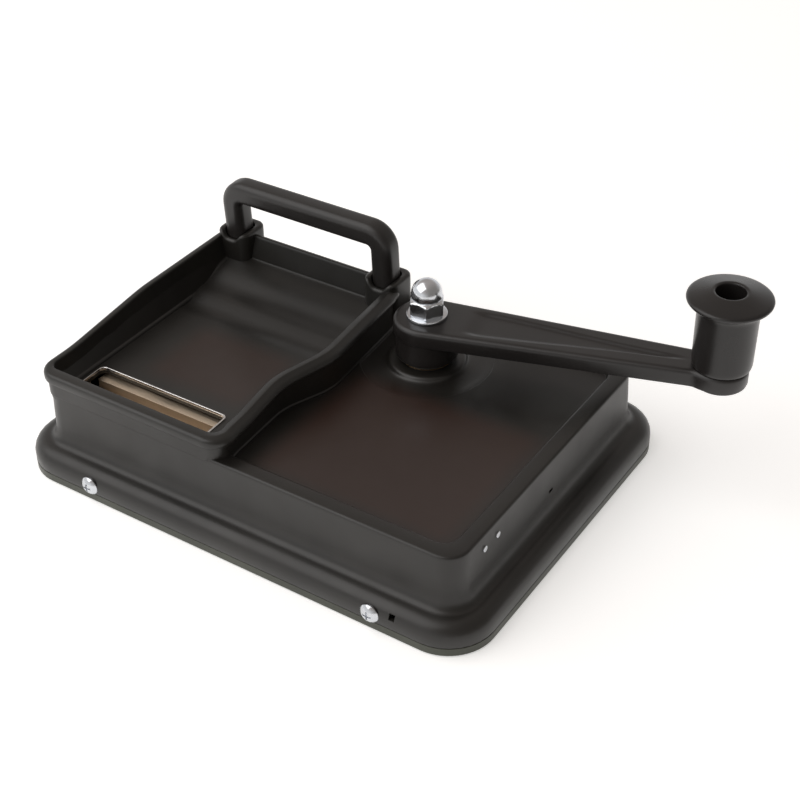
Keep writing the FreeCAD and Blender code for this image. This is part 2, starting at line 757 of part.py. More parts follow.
def make_crank_arm():
    """Lever with a deep round boss under the hub and a round pad under the knob."""
    body = new_body("CrankArm")
    thickness = "arm_top - arm_bottom"
    blade = [("0", "-arm_hub_radius"), ("arm_length", "-arm_tip_half"),
             ("arm_length", "arm_tip_half"), ("0", "arm_hub_radius")]
    pad(body, polygon(body, "XY_Plane", blade, "arm_bottom"), thickness)
    pad(body, circle(body, "0", "0", "arm_hub_radius", "arm_bottom"), thickness)
    pad(body, circle(body, "arm_length", "0", "arm_end_radius", "arm_bottom - 0.6"), f"{thickness} + 0.6")
    end_x = size("arm_length")
    fillet(body, "6", lambda edge: upright(edge) and 5 < end_x - edge.BoundBox.Center.x < 9
           and abs(edge.BoundBox.Center.y) > 5)
    fillet(body, "arm_edge_round", level_at(size("arm_top")))
    boss = circle(body, "0", "0", "arm_boss_radius", "arm_bottom")
    pad(body, boss, "arm_bottom - arm_boss_bottom", taper="arm_boss_draft", down=True)
    groove = [("arm_hub_radius + 3", "-3.4"), ("arm_length - 15", "-1.6"),
              ("arm_length - 15", "1.6"), ("arm_hub_radius + 3", "3.4")]
    pocket(body, polygon(body, "XY_Plane", groove, "arm_top"), "groove_depth")
    fit = "tenon/2 + running_gap"
    square = [(f"-({fit})", f"-({fit})"), (fit, f"-({fit})"), (fit, fit), (f"-({fit})", fit)]
    pocket(body, polygon(body, "XY_Plane", square, "arm_boss_bottom"), "tenon_top - arm_boss_bottom", up=True)
    pocket(body, circle(body, "0", "0", "stud_radius + running_gap", "arm_boss_bottom"),
           "arm_top - arm_boss_bottom + 1", up=True)
    pocket(body, circle(body, "arm_length", "0", "spindle_radius + running_gap", "arm_boss_bottom"),
           "arm_top - arm_boss_bottom + 1", up=True)
    place(body, "pivot_x", "pivot_y", "0", "arm_angle")
    node(body, "crank_arm")


def make_cap_nut_washer():
    disc = cylinder("WasherDisc", at_pivot("arm_top"), "washer_radius", "washer_thickness")
    hole = cylinder("WasherHole", at_pivot("arm_top - 1"), "stud_radius + 0.3", "washer_thickness + 2")
    node(cut("CapNutWasher", disc, [hole]), "cap_nut_washer")


def make_cap_nut():
    base = "arm_top + washer_thickness"
    hexagon = doc.addObject("Part::Prism", "NutHexagon")
    hexagon.Polygon = 6
    bind(hexagon, Circumradius="nut_flats/sqrt(3)", Height="nut_hex_height")
    place(hexagon, *at_pivot(base))
    cone = doc.addObject("Part::Cone", "NutChamfer")
    bind(cone, Radius1="nut_flats/sqrt(3) + nut_hex_height - 0.7", Radius2="nut_flats/2 - 0.2",
         Height="nut_hex_height")
    place(cone, *at_pivot(base))
    neck = cylinder("NutNeck", at_pivot(base), "nut_dome_radius", "nut_height - nut_dome_radius")
    dome = doc.addObject("Part::Sphere", "NutDome")
    bind(dome, Radius="nut_dome_radius")
    place(dome, *at_pivot(f"{base} + nut_height - nut_dome_radius"))
    blank = fuse("NutBlank", [common("NutSkirt", [hexagon, cone]), neck, dome])
    bore = cylinder("NutBore", at_pivot(f"{base} - 1"), "stud_radius + running_gap", "12.5")
    node(cut("CapNut", blank, [bore]), "cap_nut")


def at_knob(z):
    return ("pivot_x + arm_length*cos(arm_angle*1deg)", "pivot_y + arm_length*sin(arm_angle*1deg)", z)


def make_knob_spindle():
    pin = cylinder("SpindlePin", at_knob("arm_bottom - 1.6"), "spindle_radius",
                   "knob_hole_floor - arm_bottom + 3")
    head = cylinder("SpindleHead", at_knob("knob_hole_floor + 0.3"), "knob_hole_radius - 0.5", "2.4")
    foot = cylinder("SpindleFoot", at_knob("arm_bottom - 1.8"), "spindle_radius + 2", "1.2")
    node(fuse("KnobSpindle", [pin, head, foot]), "knob_spindle")


def make_knob():
    """Hollow grip with a flared top flange and a deep screw well."""
    body = new_body("Knob")
    bore = "(spindle_radius + running_gap)"
    rim = "(knob_top - knob_dome)"
    profile = [(bore, "knob_bottom"), ("knob_radius_low - 2.4", "knob_bottom"),
               ("knob_radius_low - 0.7", "knob_bottom + 0.9"), ("knob_radius_low", "knob_bottom + 2.8"),
               ("knob_radius_high", f"{rim} - 5.4"), ("knob_radius_high + 0.8", f"{rim} - 3.4"),
               ("knob_flange_radius - 0.9", f"{rim} - 1.9"), ("knob_flange_radius", f"{rim} - 1.1"),
               ("knob_flange_radius - 0.2", f"{rim} - 0.5"), ("knob_flange_radius - 0.9", rim),
               ("knob_hole_radius + 0.8", "knob_top"), ("knob_hole_radius", "knob_top - 0.8"),
               ("knob_hole_radius", "knob_hole_floor"), (bore, "knob_hole_floor")]
    revolve(body, polygon(body, "XZ_Plane", profile))
    place(body, *at_knob("0"))
    node(body, "knob")


# ---- shaft bearings ----

def make_bushes():
    lower = fuse("LowerBushBlank", [cylinder("LowerFlange", at_pivot("pan_top"), "lower_flange_radius", "1.6"),
                                    cylinder("LowerBarrel", at_pivot("pan_top"), "lower_barrel_radius",
                                             "gear_bottom - pan_top - 0.2")])
    lower_bore = cylinder("LowerBore", at_pivot("pan_top + 0.4"), "shaft_radius + running_gap", "20")
    node(cut("LowerBush", lower, [lower_bore]), "lower_bush")
    barrel = cylinder("UpperBarrel", at_pivot("upper_bush_bottom"), "upper_bush_radius - 0.02",
                      "pivot_ring_top - upper_bush_bottom")
    flange = cylinder("UpperFlange", at_pivot("pivot_ring_top - bush_flange"), "bush_flange_radius",
                      "bush_flange")
    upper = fuse("UpperBushBlank", [barrel, flange])
    upper_bore = cylinder("UpperBore", at_pivot("upper_bush_bottom - 1"), "shaft_radius + running_gap", "20")
    node(cut("UpperBush", upper, [upper_bore]), "upper_bush")


def make_shaft_washer():
    base = "pivot_ring_top + 0.1"
    disc = cylinder("ThrustDisc", at_pivot(base), "thrust_washer_radius", "thrust_washer")
    hole = cylinder("ThrustHole", at_pivot(f"{base} - 1"), "shaft_radius + 0.15", "3")
    node(cut("ShaftWasher", disc, [hole]), "shaft_washer")


def make_retaining_clip():
    """Open spring clip that sits on the shaft under the crank's boss."""
    base = "pivot_ring_top + thrust_washer + 0.2"
    disc = cylinder("ClipDisc", at_pivot(base), "clip_radius", "clip_thickness")
    hole = cylinder("ClipHole", at_pivot(f"{base} - 1"), "shaft_radius + 0.01", "3")
    mouth = box("ClipMouth", ("pivot_x - 2.5", "pivot_y - 12", f"{base} - 1"),
                ("pivot_x + 2.5", "pivot_y", f"{base} + 2"))
    node(cut("RetainingClip", disc, [hole, mouth]), "retaining_clip")


# ---- gear pair ----

def involute_flank(base_radius, start_radius, end_radius, steps):
    """Points (radius, angle) of an involute between two radii."""
    flank = []
    for i in range(steps + 1):
        radius = start_radius + (end_radius - start_radius) * i / steps
        swing = math.acos(min(1.0, base_radius / radius))
        flank.append((radius, math.tan(swing) - swing))
    return flank


def make_drive_sector():
    """Toothed sector: its teeth span the crank's swing and one tooth more at each end."""
    module = size("gear_module")
    count = size("gear_teeth")
    pitch_radius = module * count / 2
    base_radius = pitch_radius * math.cos(math.radians(20))
    tip_radius = pitch_radius + module - 0.05
    root_radius = pitch_radius - 1.25 * module
    swing = math.acos(base_radius / pitch_radius)
    half_tooth = math.pi / (2 * count) - size("backlash") / (4 * pitch_radius)
    pitch_angle = math.tan(swing) - swing
    flank = involute_flank(base_radius, root_radius, tip_radius, 6)
    points = []
    for tooth in range(-1, int(size("crank_pitches")) + 2):
        centre = -math.pi / 2 + tooth * 2 * math.pi / count
        for radius, angle in flank:
            points.append((radius, centre - half_tooth - pitch_angle + angle))
        for radius, angle in reversed(flank):
            points.append((radius, centre + half_tooth + pitch_angle - angle))
    corners = [Vector(radius * math.cos(angle), radius * math.sin(angle), 0) for radius, angle in points]
    corners.append(Vector(0, 0, 0))
    corners.append(corners[0])
    outline = Part.Face(Part.makePolygon(corners))
    blank = outline.extrude(Vector(0, 0, size("gear_thickness")))
    hub = Part.makeCylinder(size("gear_hub_radius"), size("gear_hub_top") - size("gear_bottom"))
    bore = Part.makeCylinder(size("shaft_radius") + 0.02, 40, Vector(0, 0, -5))
    pin_height = size("gear_hub_top") - 2.2 - size("gear_bottom")
    pin_hole = Part.makeCylinder(size("small_screw_radius"), 30, Vector(0, -15, pin_height), Vector(0, 1, 0))
    web_holes = []
    for angle in (-72, -36, 0):
        turn = math.radians(angle)
        web_holes.append(Part.makeCylinder(5.5, 20, Vector(23 * math.cos(turn), 23 * math.sin(turn), -5)))
    sector = doc.addObject("Part::Feature", "DriveSector")
    sector.Shape = blank.fuse(hub).cut(bore).cut(pin_hole).cut(Part.makeCompound(web_holes)).removeSplitter()
    place(sector, "pivot_x", "pivot_y", "gear_bottom")
    node(sector, "drive_sector")


def make_sector_pin():
    node(cylinder("SectorPin", ("pivot_x", "pivot_y - gear_hub_radius", "gear_hub_top - 2.2"),
                  "small_screw_radius - 0.02", "2*gear_hub_radius", "y"), "sector_pin")


def make_rack():
    """Straight bar with one tooth drawn and repeated along its length."""
    body = new_body("Rack")
    first = f"(pivot_x - 1.5*{RACK_PITCH})"
    root = f"({PITCH_LINE} - 1.25*gear_module)"
    left = f"{first} - 0.5*{RACK_PITCH}"
    right = f"{first} + (rack_teeth - 0.5)*{RACK_PITCH}"
    bar = [(left, "rack_back"), (right, "rack_back"), (right, root), (left, root)]
    pad(body, polygon(body, "XY_Plane", bar, "gear_bottom"), "gear_thickness")
    half = f"({RACK_PITCH}/4 - backlash/4)"
    slope = "tan(20deg)"
    foot = f"({half} + 1.25*gear_module*{slope})"
    tip = f"({half} - 0.96*gear_module*{slope})"
    top = f"{PITCH_LINE} + 0.96*gear_module"
    sunk = f"{root} - 0.5"
    tooth = [(f"{first} - {foot}", sunk), (f"{first} + {foot}", sunk), (f"{first} + {foot}", root),
             (f"{first} + {tip}", top), (f"{first} - {tip}", top), (f"{first} - {foot}", root)]
    drawn = pad(body, polygon(body, "XY_Plane", tooth, "gear_bottom"), "gear_thickness")
    pattern = body.newObject("PartDesign::LinearPattern", "RackTeeth")
    pattern.Originals = [drawn]
    axis = next(part for part in body.Origin.OriginFeatures if part.Role == "X_Axis")
    pattern.Direction = (axis, [""])
    bind(pattern, Length=f"(rack_teeth - 1)*{RACK_PITCH}", Occurrences="rack_teeth")
    body.Tip = pattern
    doc.recompute()
    screw_holes = [cylinder("RackScrewHole", (x, "rack_back - 1", "gear_bottom + gear_thickness/2"),
                            "small_screw_radius", "7", "y") for x in RACK_SCREW_XS]
    pin_hole = cylinder("CamPinHole", ("cam_pin_x", "cam_pin_y", "gear_bottom + 1"), "cam_pin_radius", "10")
    node(cut("RackBar", body, screw_holes + [pin_hole]), "rack")


def make_rack_screws():
    screws = [cylinder("RackScrew", (x, "rack_back - rack_screw_reach", "gear_bottom + gear_thickness/2"),
                       "small_screw_radius - 0.02", "rack_screw_reach + 5", "y") for x in RACK_SCREW_XS]
    node(group("RackScrews", screws), "rack_screws")


def make_cam_pin():
    node(cylinder("CamPin", ("cam_pin_x", "cam_pin_y", "gear_bottom + 1"), "cam_pin_radius - 0.02",
                  "plate_bottom + plate_thickness + 0.8 - gear_bottom - 1"), "cam_pin")


# ---- carriage ----

def make_guide_rods():
    rods = [cylinder("GuideRod", ("rod_left", y, "rod_z"), "rod_radius", "rod_right - rod_left", "x")
            for y in ROD_YS]
    node(group("GuideRods", rods), "guide_rods")


def make_rod_brackets():
    brackets = []
    for x in BRACKET_LEFTS:
        block = box("Bracket", (x, "rod_front_y - 4.5", "pan_top"),
                    (f"{x} + bracket_width", "rod_back_y + 4.5", "bracket_top"))
        holes = [cylinder("BracketBore", (f"{x} - 1", y, "rod_z"), "rod_radius + 0.02",
                          "bracket_width + 2", "x") for y in ROD_YS]
        for y in BRACKET_SCREW_YS:
            middle = f"{x} + bracket_width/2"
            holes.append(cylinder("BracketScrewHole", (middle, y, "pan_top - 1"),
                                  "small_screw_radius + 0.05", "20"))
            holes.append(cylinder("BracketSink", (middle, y, "bracket_top - 2.2"), "2.7", "5"))
        brackets.append(cut("BoredBracket", block, holes))
    node(group("RodBrackets", brackets), "rod_brackets")


def make_bracket_screws():
    screws = []
    for x in BRACKET_LEFTS:
        for y in BRACKET_SCREW_YS:
            middle = f"{x} + bracket_width/2"
            shank = cylinder("BracketShank", (middle, y, "mat_thickness + 0.1"), "small_screw_radius",
                             "bracket_top - 2.2 - mat_thickness")
            head = cylinder("BracketHead", (middle, y, "bracket_top - 2.2"), "2.6", "1.9")
            screws.append(fuse("BracketScrew", [shank, head]))
    node(group("BracketScrews", screws), "bracket_screws")


def make_carriage():
    """Block on two rods, with a post at the front that carries the push rod."""
    block = box("CarriageBlock", ("carriage_left", "rod_front_y - 6", "carriage_bottom"),
                ("carriage_left + carriage_length", "rack_back", "carriage_top"))
    post = box("CarriagePost", ("carriage_left", "spoon_y - 4.5", "carriage_bottom"),
               ("carriage_left + post_width", "rod_front_y - 4", "post_top"))
    holes = [cylinder("CarriageBore", ("carriage_left - 1", y, "rod_z"), "bush_radius",
                      "carriage_length + 2", "x") for y in ROD_YS]
    holes.append(cylinder("PushRodSeat", ("carriage_left - 1", "spoon_y", "spoon_z"),
                          "push_rod_radius + 0.02", "post_width - 1", "x"))
    holes.append(cylinder("SetScrewHole", ("carriage_left + 5", "spoon_y", "spoon_z"),
                          "small_screw_radius", "10"))
    for x in RACK_SCREW_XS:
        holes.append(cylinder("CarriageScrewHole", (x, "rack_back - rack_screw_reach - 0.5",
                                                    "gear_bottom + gear_thickness/2"),
                              "small_screw_radius", "rack_screw_reach + 1.5", "y"))
    node(cut("Carriage", fuse("CarriageBlank", [block, post]), holes), "carriage")


def make_carriage_bushes():
    bushes = []
    for y in ROD_YS:
        for x in ("carriage_left", "carriage_left + carriage_length - bush_length"):
            sleeve = cylinder("BushSleeve", (x, y, "rod_z"), "bush_radius - 0.02", "bush_length", "x")
            bore = cylinder("BushBore", (f"{x} - 1", y, "rod_z"), "rod_radius + running_gap",
                            "bush_length + 2", "x")
            bushes.append(cut("Bush", sleeve, [bore]))
    node(group("CarriageBushes", bushes), "carriage_bushes")


def make_spoon():
    """Half tube, open to the back, with a full socket at its root for the push rod."""
    blank = cylinder("SpoonBlank", ("spoon_tip", "spoon_y", "spoon_z"), "spoon_radius",
                     "spoon_root + 8 - spoon_tip", "x")
    hollow = cylinder("SpoonHollow", ("spoon_tip - 1", "spoon_y", "spoon_z"), "spoon_radius - spoon_wall",
                      "spoon_root - spoon_tip", "x")
    seat = cylinder("SpoonSeat", ("spoon_root", "spoon_y", "spoon_z"), "push_rod_radius + 0.02", "20", "x")
    mouth = box("SpoonMouth", ("spoon_tip - 1", "spoon_y", "spoon_z - 6"),
                ("spoon_root - 1", "spoon_y + 6", "spoon_z + 6"))
    node(cut("Spoon", blank, [hollow, seat, mouth]), "spoon")


def make_push_rod():
    node(cylinder("PushRod", ("spoon_root", "spoon_y", "spoon_z"), "push_rod_radius",
                  "carriage_left + post_width - 2 - spoon_root", "x"), "push_rod")


def make_set_screw():
    node(cylinder("SetScrew", ("carriage_left + 5", "spoon_y", "spoon_z + push_rod_radius"),
                  "small_screw_radius - 0.02", "post_top - spoon_z - push_rod_radius"), "set_screw")


# ---- filling chamber and nozzle ----

def make_chamber_bed():
    """Folded steel bed on two legs that stand on the base plate."""
    bed = box("BedPlate", ("bed_left", "bed_front", f"{BED_TOP} - bed_thickness"),
              ("bed_right", "bed_back", BED_TOP))
    legs = [box("BedLegLeft", ("bed_left", "bed_front", "pan_top"),
                ("bed_left + 5", "bed_back", f"{BED_TOP} - 1")),
            box("BedLegRight", ("bed_right - 6", "bed_front", "pan_top"),
                ("bed_right - 1", "rod_front_y - 4.6", f"{BED_TOP} - 1"))]
    node(fuse("ChamberBed", [bed] + legs), "chamber_bed")


def make_chamber_jaw():
    """Fixed front wall of the filling chamber."""
    jaw = box("ChamberJaw", ("bed_left", "bed_front", BED_TOP),
              ("bed_right", "bed_front + jaw_thickness", "jaw_top"))
    node(jaw, "chamber_jaw")


def make_nozzle():
    flange = cylinder("NozzleFlange", ("holder_right", "spoon_y", "spoon_z"), "nozzle_pocket",
                      "flange_thickness", "x")
    tube = cylinder("NozzleTube", ("nozzle_tip", "spoon_y", "spoon_z"), "spoon_radius + 0.08 + nozzle_wall",
                    "holder_right - nozzle_tip + 0.5", "x")
    bore = cylinder("NozzleBore", ("nozzle_tip - 1", "spoon_y", "spoon_z"), "spoon_radius + 0.08", "20", "x")
    node(cut("Nozzle", fuse("NozzleBlank", [flange, tube]), [bore]), "nozzle")


def make_nozzle_holder():
    """Block behind the left wall with room around the nozzle for the tube that slips over it."""
    outline = [("holder_left", "spoon_y - 2"), ("holder_left + 2.4", "spoon_y - 6.4"),
               ("holder_right", "spoon_y - 6.4"), ("holder_right", "spoon_y + 8"),
               ("holder_left", "spoon_y + 8")]
    block = prism("HolderBlock", outline, "pan_top", "jaw_top - pan_top")
    port = cylinder("HolderPort", ("holder_left - 2", "spoon_y", "spoon_z"), "nozzle_pocket", "10", "x")
    node(cut("NozzleHolder", block, [port]), "nozzle_holder")


# ---- packer ----

def make_packing_bar():
    bar = box("PackingBarBlade", ("bed_left + 0.4", "bar_front", f"{BED_TOP} + 0.1"),
              ("bar_right", "bar_front + bar_depth", "bar_top"))
    web = box("PackingBarWeb", ("bar_right - 8", "bar_front", "plate_bottom + plate_thickness"),
              ("bar_right", "bar_front + bar_depth", "bar_top"))
    holes = [cylinder("BarRivetHole", ("bar_right - 4", y, "plate_bottom"), "small_screw_radius", "9")
             for y in RIVET_YS]
    node(cut("PackingBar", fuse("BarBlank", [bar, web]), holes), "packing_bar")


def cam_slot_points():
    """Corners of the slanted slot that the cam pin runs along, as formulas."""
    travel = "(crank_pitches*pi*gear_module)"
    half = "(cam_pin_radius + 0.08)"
    rise = "packer_travel"
    slant = f"sqrt({travel}^2 + {rise}^2)"
    along_x = f"({travel}/{slant})"
    along_y = f"({rise}/{slant})"
    near_x = f"cam_pin_x + {half}*{along_x}"
    near_y = f"cam_pin_y - {half}*{along_y}"
    far_x = f"cam_pin_x - {travel} - {half}*{along_x}"
    far_y = f"cam_pin_y + {rise} + {half}*{along_y}"
    side_x = f"{half}*{along_y}"
    side_y = f"{half}*{along_x}"
    return [(f"{near_x} - {side_x}", f"{near_y} - {side_y}"), (f"{near_x} + {side_x}", f"{near_y} + {side_y}"),
            (f"{far_x} + {side_x}", f"{far_y} + {side_y}"), (f"{far_x} - {side_x}", f"{far_y} - {side_y}")]


def make_slide_plate():
    """Plate above the carriage: a slanted slot turns the carriage's travel into the packer's."""
    body = new_body("SlidePlate")
    outline = [("plate_left", "plate_front"), ("bar_right - 8", "plate_front"), ("bar_right - 8", "bar_front"),
               ("bar_right", "bar_front"), ("bar_right", "plate_front"), ("plate_right", "plate_front"),
               ("plate_right", "plate_back"), ("plate_left", "plate_back")]
    pad(body, polygon(body, "XY_Plane", outline, "plate_bottom"), "plate_thickness")
    top = "plate_bottom + plate_thickness"
    pocket(body, polygon(body, "XY_Plane", cam_slot_points(), top), "plate_thickness")
    for x in GUIDE_POST_XS:
        reach = "(guide_post_radius + 0.08)"
        low = f"guide_post_y - {reach}"
        high = f"guide_post_y + packer_travel + {reach}"
        slot = [(f"{x} - {reach}", low), (f"{x} + {reach}", low),
                (f"{x} + {reach}", high), (f"{x} - {reach}", high)]
        pocket(body, polygon(body, "XY_Plane", slot, top), "plate_thickness")
    for y in RIVET_YS:
        pocket(body, circle(body, "bar_right - 4", y, "small_screw_radius", top), "plate_thickness")
    node(body, "slide_plate")


def make_plate_rivets():
    rivets = []
    for y in RIVET_YS:
        shank = cylinder("RivetShank", ("bar_right - 4", y, "plate_bottom - 0.5"),
                         "small_screw_radius - 0.02", "9")
        head = cylinder("RivetHead", ("bar_right - 4", y, "plate_bottom - 0.8"), "2.3", "0.8")
        rivets.append(fuse("Rivet", [shank, head]))
    node(group("PlateRivets", rivets), "plate_rivets")


def make_guide_posts():
    posts = []
    for x in GUIDE_POST_XS:
        shank = cylinder("PostShank", (x, "guide_post_y", "pan_top"), "guide_post_radius",
                         "plate_bottom + plate_thickness + 0.2 - pan_top")
        shoulder = cylinder("PostShoulder", (x, "guide_post_y", "pan_top"), "guide_post_radius + 1.5",
                            "plate_bottom - 0.1 - pan_top")
        head = cylinder("PostHead", (x, "guide_post_y", "plate_bottom + plate_thickness + 0.1"),
                        "guide_post_radius + 1.2", "0.9")
        posts.append(fuse("GuidePost", [shank, shoulder, head]))
    node(group("GuidePosts", posts), "guide_posts")


MAKERS = (
    make_base_mat, make_base_pan, make_top_cover, make_side_screws, make_end_pins,
    make_hopper_tray, make_slot_trim, make_carry_handle, make_handle_screws,
    make_crank_shaft, make_crank_arm, make_cap_nut_washer, make_cap_nut, make_knob_spindle, make_knob,
    make_bushes, make_shaft_washer, make_retaining_clip,
    make_drive_sector, make_sector_pin, make_rack, make_rack_screws, make_cam_pin,
    make_guide_rods, make_rod_brackets, make_bracket_screws, make_carriage, make_carriage_bushes,
    make_spoon, make_push_rod, make_set_screw,
    make_chamber_bed, make_chamber_jaw, make_nozzle, make_nozzle_holder,
    make_packing_bar, make_slide_plate, make_plate_rivets, make_guide_posts,
)


def check_and_export():
    doc.recompute()
    for obj in doc.Objects:
        if "Invalid" in obj.State or "Error" in obj.State:
            raise RuntimeError(f"{obj.Name} did not recompute")
    for obj in nodes:
        if obj.Shape.isNull() or not obj.Shape.isValid() or not obj.Shape.Solids:
            raise RuntimeError(f"{obj.Label} has no valid solid")
    os.makedirs("parts", exist_ok=True)
    for obj in nodes:
        obj.Shape.exportStep(os.path.join("parts", f"{obj.Label}.step"))
        print(f"{obj.Label}: {len(obj.Shape.Solids)} solid(s), {obj.Shape.Volume / 1000:.2f} cm3")


fill_sheet()
for maker in MAKERS:
    maker()
check_and_export()
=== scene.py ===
import json
import math

import bmesh
import bpy
from mathutils import Matrix, Vector


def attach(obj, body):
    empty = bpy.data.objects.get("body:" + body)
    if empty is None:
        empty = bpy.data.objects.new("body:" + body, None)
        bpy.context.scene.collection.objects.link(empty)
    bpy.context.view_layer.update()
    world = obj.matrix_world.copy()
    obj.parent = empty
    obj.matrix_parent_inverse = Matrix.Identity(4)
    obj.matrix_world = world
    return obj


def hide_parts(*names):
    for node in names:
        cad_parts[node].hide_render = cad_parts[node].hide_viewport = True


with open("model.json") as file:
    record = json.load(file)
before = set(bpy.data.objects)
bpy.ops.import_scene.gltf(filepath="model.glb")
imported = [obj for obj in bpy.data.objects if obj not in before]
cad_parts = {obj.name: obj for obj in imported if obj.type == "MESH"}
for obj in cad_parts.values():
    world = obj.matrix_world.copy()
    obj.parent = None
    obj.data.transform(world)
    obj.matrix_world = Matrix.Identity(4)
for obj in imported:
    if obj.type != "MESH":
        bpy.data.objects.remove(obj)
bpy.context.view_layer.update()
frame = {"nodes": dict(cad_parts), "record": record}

MM = 0.001

# ---- driving sizes, in millimetres ----

BASE_LENGTH, BASE_DEPTH, BASE_CORNER = 212, 158, 19
TRAY_LEFT, TRAY_FRONT, TRAY_BACK = -95.9, -70.6, 52.5
RIGHT_EDGE = ((-71, -4.4), (-27, -6.6), (-6, 1.8), (53, -2.5))      # x of the tray's right side, for y
RIM_LINE = ((-200, 46.5), (-50, 46.5), (-8, 51.2), (158, 52.4))     # height of the tray's rim, for y
BEAD_HEIGHT = 4.0
BEAD_CORNER = 9.0
FLOOR = 35.0                # flat part of the tray's floor
TRAY_FOOT = 34.4            # level at which pieces in the tray start, just under its floor
PANEL = 34.0                # sunk panel of the cover
RIM_TOP = 36.3              # low rim round the panel
SLOT_MIDDLE, SLOT_HALF = (-54.9, -52.7), (31.4, 9.3)
PIVOT = (20, 32)
MOUNT_RADIUS = 27.0         # dished ring round the pivot
ARM_ANGLE = math.radians(15)
ARM_LENGTH = 116.0
ARM_TOP, ARM_BOTTOM = 55.0, 48.0
HUB_RADIUS, PAD_RADIUS = 13.5, 10.3
HANDLE_X, HANDLE_Y = (-87.8, -11.2), 50.5


# ---- mesh tools ----

SHARP_ANGLE = math.radians(32)
WELD = 0.002


def shade(mesh):
    mesh.shade_smooth()
    mesh.set_sharp_from_angle(angle=SHARP_ANGLE)


def mesh_piece(name, points, faces, body=None, slot=None, stands_for=()):
    """Makes a smooth-shaded mesh from points in millimetres and hangs it on a body."""
    mesh = bpy.data.meshes.new(name)
    mesh.from_pydata([Vector(p) * MM for p in points], [], faces)
    mesh.validate()
    work = bmesh.new()
    work.from_mesh(mesh)
    bmesh.ops.remove_doubles(work, verts=work.verts, dist=WELD * MM)
    bmesh.ops.recalc_face_normals(work, faces=work.faces)
    work.to_mesh(mesh)
    work.free()
    shade(mesh)
    obj = bpy.data.objects.new(name, mesh)
    bpy.context.scene.collection.objects.link(obj)
    if body:
        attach(obj, body)
        mesh.materials.append(MATERIALS[slot])
    if stands_for:
        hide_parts(*stands_for)
    return obj


def bridge(rings, cap_start=True, cap_end=True):
    """Joins rings of equally many points with quads, and closes the two ends with one face each."""
    count = len(rings[0])
    points = [p for ring in rings for p in ring]
    faces = []
    for level in range(len(rings) - 1):
        low, high = level * count, (level + 1) * count
        for i in range(count):
            j = (i + 1) % count
            faces.append((low + i, low + j, high + j, high + i))
    if cap_start:
        faces.append(tuple(range(count)))
    if cap_end:
        faces.append(tuple(range((len(rings) - 1) * count, len(rings) * count)))
    return points, faces


def join(*shapes):
    """Puts several (points, faces) shapes into one."""
    points, faces = [], []
    for more_points, more_faces in shapes:
        start = len(points)
        points += more_points
        faces += [tuple(i + start for i in face) for face in more_faces]
    return points, faces


def apply_modifier(obj, kind, **settings):
    """Runs one modifier on an object and keeps its result as the mesh."""
    step = obj.modifiers.new(kind, kind)
    for key, value in settings.items():
        setattr(step, key, value)
    depsgraph = bpy.context.evaluated_depsgraph_get()
    result = bpy.data.meshes.new_from_object(obj.evaluated_get(depsgraph))
    obj.modifiers.clear()
    obj.data = result


def carve(obj, cutters):
    """Cuts closed shapes out of an object."""
    for points, faces in cutters:
        cutter = mesh_piece("cutter", points, faces)
        apply_modifier(obj, "BOOLEAN", operation="DIFFERENCE", solver="EXACT", use_hole_tolerant=True,
                       object=cutter)
        bpy.data.objects.remove(cutter)
    shade(obj.data)


def thicken(obj, thickness):
    """Gives an open skin a wall on its inner side."""
    apply_modifier(obj, "SOLIDIFY", thickness=thickness * MM, offset=-1)


def line_value(line, t):
    """Value of a broken line at t."""
    for (t0, v0), (t1, v1) in zip(line, line[1:]):
        if t <= t1:
            return v0 + (v1 - v0) * max(0.0, t - t0) / (t1 - t0)
    return line[-1][1]


def eased(line, t, reach):
    """The broken line with its corners eased over a distance, by averaging nine places."""
    return sum(line_value(line, t + reach * (k - 4) / 4) for k in range(9)) / 9


def smooth(t):
    """Rises from 0 to 1 with level ends."""
    t = min(1.0, max(0.0, t))
    return t * t * (3 - 2 * t)


def soft_max(a, b, reach):
    """The larger value, with the change-over eased where the two are closer than the reach."""
    gap = max(0.0, 1 - abs(a - b) / reach)
    return max(a, b) + gap * gap * reach / 4


def arc(x, y, radius, start, end, steps=8):
    """Points along a circular arc, angles in degrees."""
    turns = [math.radians(start + (end - start) * k / steps) for k in range(steps + 1)]
    return [(x + radius * math.cos(t), y + radius * math.sin(t)) for t in turns]


def quarter_turns(steps):
    return [math.pi / 2 * k / steps for k in range(steps + 1)]


def circle(x, y, radius, count=96):
    turns = [2 * math.pi * k / count for k in range(count)]
    return [(x + radius * math.cos(t), y + radius * math.sin(t)) for t in turns]


def rounded_rectangle(x, y, half_x, half_y, corner, steps=8, front_steps=12):
    """Outline with round corners, and extra points along its front side."""
    plan = arc(x + half_x - corner, y + half_y - corner, corner, 0, 90, steps)
    plan += arc(x - half_x + corner, y + half_y - corner, corner, 90, 180, steps)
    plan += arc(x - half_x + corner, y - half_y + corner, corner, 180, 270, steps)
    straight = 2 * (half_x - corner)
    plan += [(x - straight / 2 + straight * k / front_steps, y - half_y) for k in range(1, front_steps)]
    plan += arc(x + half_x - corner, y - half_y + corner, corner, 270, 360, steps)
    return plan


def revolve(x, y, profile, count=96, closed=False):
    """Turns (radius, height) points about an upright axis, with flat ends if closed."""
    rings = [[(*p, z) for p in circle(x, y, radius, count)] for radius, z in profile]
    return bridge(rings, closed, closed)


def rod_along_x(start, end, y, z, radius, count=48):
    return bridge([[(x, *p) for p in circle(y, z, radius, count)] for x in (start, end)])


def block(low, high):
    (x0, y0, z0), (x1, y1, z1) = low, high
    return bridge([[(x0, y0, z), (x1, y0, z), (x1, y1, z), (x0, y1, z)] for z in (z0, z1)])


